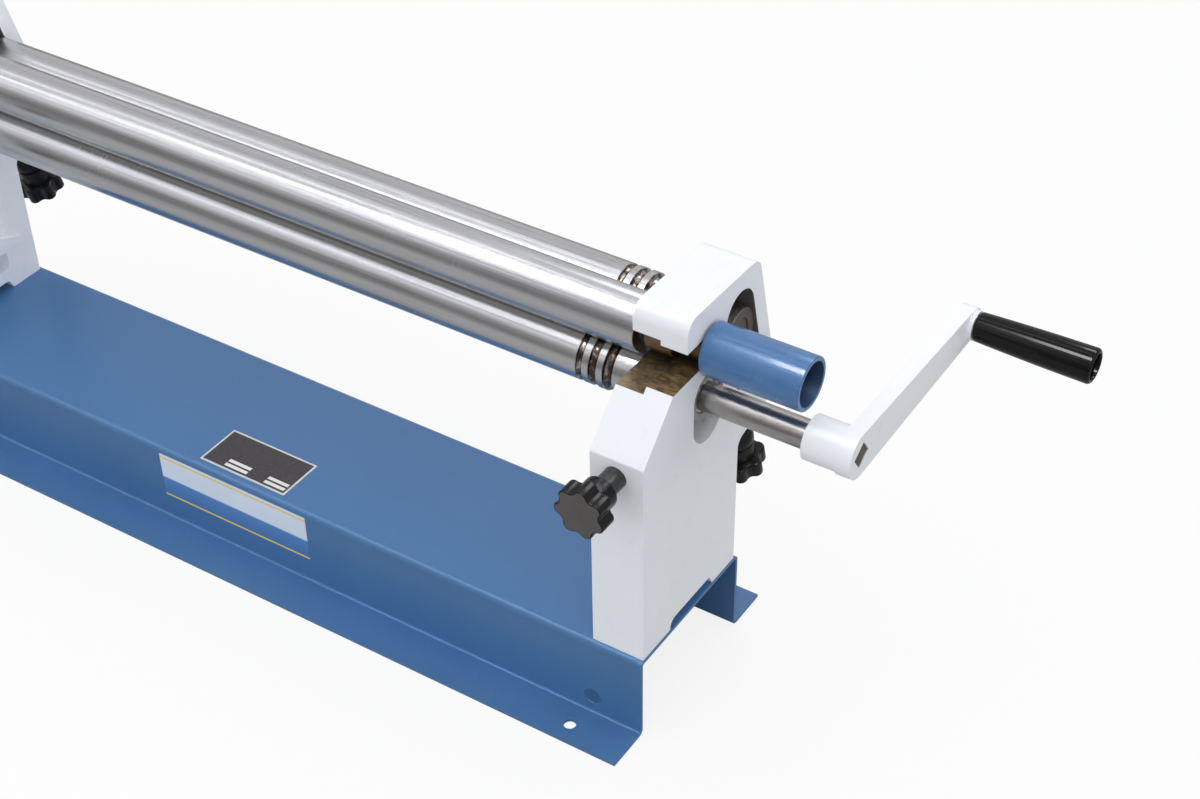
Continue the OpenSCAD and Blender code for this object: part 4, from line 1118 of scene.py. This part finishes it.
# The room as the rolls mirror it: degrees from straight up toward the operator, and brightness
PANELS = (
    (-180, 0.30), (-130, 0.55), (-85, 0.74), (-61, 0.66), (-36, 0.66), (-26, 0.85),
    (-18, 1.05), (-8, 1.05), (-4, 0.80), (2, 0.70), (8, 0.90), (20, 1.30),
    (27, 1.35), (32, 1.10), (42, 1.10), (46, 0.80), (50, 0.74), (54, 1.30),
    (58, 0.95), (62, 0.62), (67, 0.50), (73, 0.40), (79, 0.31), (86, 0.26),
    (92, 0.22), (98, 0.24), (104, 0.34), (112, 0.45), (150, 0.47), (180, 0.30),
)
# Lamp tubes in it: middle and half width in degrees, and brightness
TUBES = ((-12.0, 1.6, 3.2), (16.5, 2.6, 3.6), (37.5, 1.1, 3.0))
# Strong softboxes to the side, which only the black plastics and edges catch:
# from and to in degrees, from and to sideways, and brightness
SOFTBOXES = ((10, 27, -0.31, 0.55, 20.0), (-52, -36, -0.25, 0.45, 7.0))


def mirrored_room(room, along, angle):
    """What gloss sees: panels and tubes by angle, softboxes by angle and side, plain ends."""
    stops = []
    for a, v in PANELS:
        cool = min(1, v) * 0.045
        stops.append(((180 - a) / 360, (v * (1.01 - cool), v * (0.995 - cool / 3), v * (0.995 + cool))))
    stops.reverse()
    mirror = room.node("ShaderNodeValToRGB", {"stops": stops}, {"Fac": 0.5 - angle / 360})
    for middle, half, gain in TUBES:
        line = room.inside(angle, middle - half, middle + half, 0.5)
        mirror = room.mix(line, mirror, (gain * 0.97, gain, gain * 1.05))
    dim_side = room.mask(along, -0.34, -0.2)
    mirror = room.mix(dim_side * 0.4, mirror, (0.18, 0.18, 0.19))
    for low, high, left, right, gain in SOFTBOXES:
        glow = room.inside(angle, low, high, 1.0) * room.inside(along, left, right, 0.02)
        mirror = room.mix(glow, mirror, (gain * 0.98, gain, gain * 1.04))
    ends = room.mask(abs(along), 0.8, 0.97)
    return room.mix(ends, mirror, (0.72, 0.73, 0.75))


def make_studio():
    """White room with soft lamps; metal sees bright panels with darker gaps between them."""
    world = bpy.data.worlds.new("studio")
    world.use_nodes = True
    bpy.context.scene.world = world
    room = Look(world.node_tree)
    nodes = room.tree.nodes
    nodes.clear()
    path = nodes.new("ShaderNodeLightPath")
    seen = Wire(room, path.outputs["Is Camera Ray"])
    glossy = Wire(room, path.outputs["Is Glossy Ray"])
    through = Wire(room, path.outputs["Is Transmission Ray"])
    way = room.node("ShaderNodeTexCoord", out="Generated")
    along, across, height = room.split(way)
    angle = room.node("ShaderNodeMath", {"operation": "ARCTAN2"}, {0: across, 1: height}) * (-180 / pi)
    look = room.mix(glossy, (0.96, 0.97, 0.99), mirrored_room(room, along, angle))
    white = (1.0, 1.0, 1.0)
    look = room.mix(through, look, white)
    look = room.mix(seen, look, white)
    background = room.node("ShaderNodeBackground", {}, {"Color": look, "Strength": 1.0})
    output = nodes.new("ShaderNodeOutputWorld")
    room.tree.links.new(background.socket, output.inputs["Surface"])
    softbox("overhead", (0.1, -0.1, 1.9), (0.05, 0.0, 0.15), (1.8, 1.2), 5)
    softbox("front_fill", (0.2, -1.9, 0.9), (0.1, 0.0, 0.15), (1.6, 0.8), 2)


# The floor's bounce fades between these; the camera sees this share of it as white
FADE_FROM = 700
FADE_TO = 1700
WHITE_SHARE = 0.84


def make_floor():
    """Pale floor that shows a soft shadow and otherwise fades into the white backdrop."""
    mesh = bpy.data.meshes.new("floor")
    reach = 6.0
    corners = [(-reach, -reach, 0), (reach, -reach, 0), (reach, reach, 0), (-reach, reach, 0)]
    mesh.from_pydata(corners, [], [(0, 1, 2, 3)])
    floor = placed("floor", mesh)
    ground = Finish("floor_white", (0.86, 0.86, 0.86), 0.9)
    ground.set("Specular IOR Level", 0.0)
    glow = ground.node("ShaderNodeEmission", {}, {"Color": (1, 1, 1, 1), "Strength": 1.0})
    path = ground.tree.nodes.new("ShaderNodeLightPath")
    seen = Wire(ground, path.outputs["Is Camera Ray"])
    mixer = ground.tree.nodes.new("ShaderNodeMixShader")
    away = (ground.x * ground.x + ground.y * ground.y) ** 0.5
    bounce = ground.mix(ground.mask(away, FADE_FROM, FADE_TO), (0.50, 0.50, 0.50), (0.26, 0.26, 0.26))
    ground.set("Base Color", ground.mix(seen, bounce, (0.86, 0.86, 0.86)))
    ground.tree.links.new((seen * WHITE_SHARE).socket, mixer.inputs[0])
    ground.tree.links.new(ground.shader.outputs[0], mixer.inputs[1])
    ground.tree.links.new(glow.socket, mixer.inputs[2])
    output = next(n for n in ground.tree.nodes if n.type == "OUTPUT_MATERIAL")
    ground.tree.links.new(mixer.outputs[0], output.inputs["Surface"])
    mesh.materials.append(ground.material)


def make_rolls_and_bushes():
    """The three rolls, with round bushes for all but the upper left one."""
    make_lower_roll()
    make_upper_roll()
    make_rear_roll()
    for side, x0, x1 in (("right", BUSH_IN, BUSH_OUT), ("left", -BUSH_OUT, -BUSH_IN)):
        make_bush("lower_bush_" + side, LOW_JOURNAL_R, LOW_BUSH_R, AXIS_Y, LOW_Z, x0, x1)
        make_bush("rear_bush_" + side, REAR_JOURNAL_R, REAR_BUSH_R, REAR_Y, REAR_Z, x0, x1, "dull_iron")
    make_bush("upper_bush_right", NECK_R, UPPER_BUSH_R, AXIS_Y, UP_Z, BUSH_IN, GATE_STEP_X - 0.4, "oily_iron")


def make_adjusters():
    """Knobs and screws at both ends."""
    for side, way in (("right", 1), ("left", -1)):
        make_front_knob("front_knob_" + side, way * FRONT_X, FRONT_STAR_TURNS[side])
        make_front_screw("front_screw_" + side, way * FRONT_X)
        make_rear_knob("rear_knob_" + side, way * REAR_X, REAR_STAR_TURNS[side])
        make_rear_screw("rear_screw_" + side, way * REAR_X)


# Pieces taken from their solids with rounded edges: rounding in millimetres and finish
SMALL_PIECES = (
    ("gear_guard", 0.5, "blue_paint"), ("guard_screws", 0.4, "bright_steel"),
    ("frame_bolts", 0.4, "dark_steel"), ("frame_washers", 0.25, "bright_steel"),
    ("upper_gear", 0.25, "dark_steel"), ("lower_gear", 0.25, "dark_steel"),
    ("upper_bush_left", 0.3, "bronze"), ("snap_ring", 0.12, "bright_steel"),
    ("drive_pin", 0.3, "dark_steel"), ("gear_key", 0.25, "bright_steel"),
    ("gear_bolt", 0.4, "dark_steel"), ("crank_setscrew", 0.2, "dark_steel"),
    ("grip_bolt", 0.4, "bright_steel"), ("front_plunger_left", 0.3, "bush_steel"),
    ("front_plunger_right", 0.3, "bush_steel"),
)


def make_softened_parts():
    """The pieces that keep their solid's shape, with rounded edges."""
    make_frames()
    softened("base_channel", 0.5, ["blue_paint"])
    softened("crank_arm", 1.3, ["white_paint"], segments=4)
    for node, rim, finish in SMALL_PIECES:
        softened(node, rim, [finish])


make_camera()
make_studio()
make_floor()
make_softened_parts()
make_rolls_and_bushes()
make_tube()
make_grip()
make_adjusters()
make_labels()
bpy.context.scene.view_settings.view_transform = "Standard"
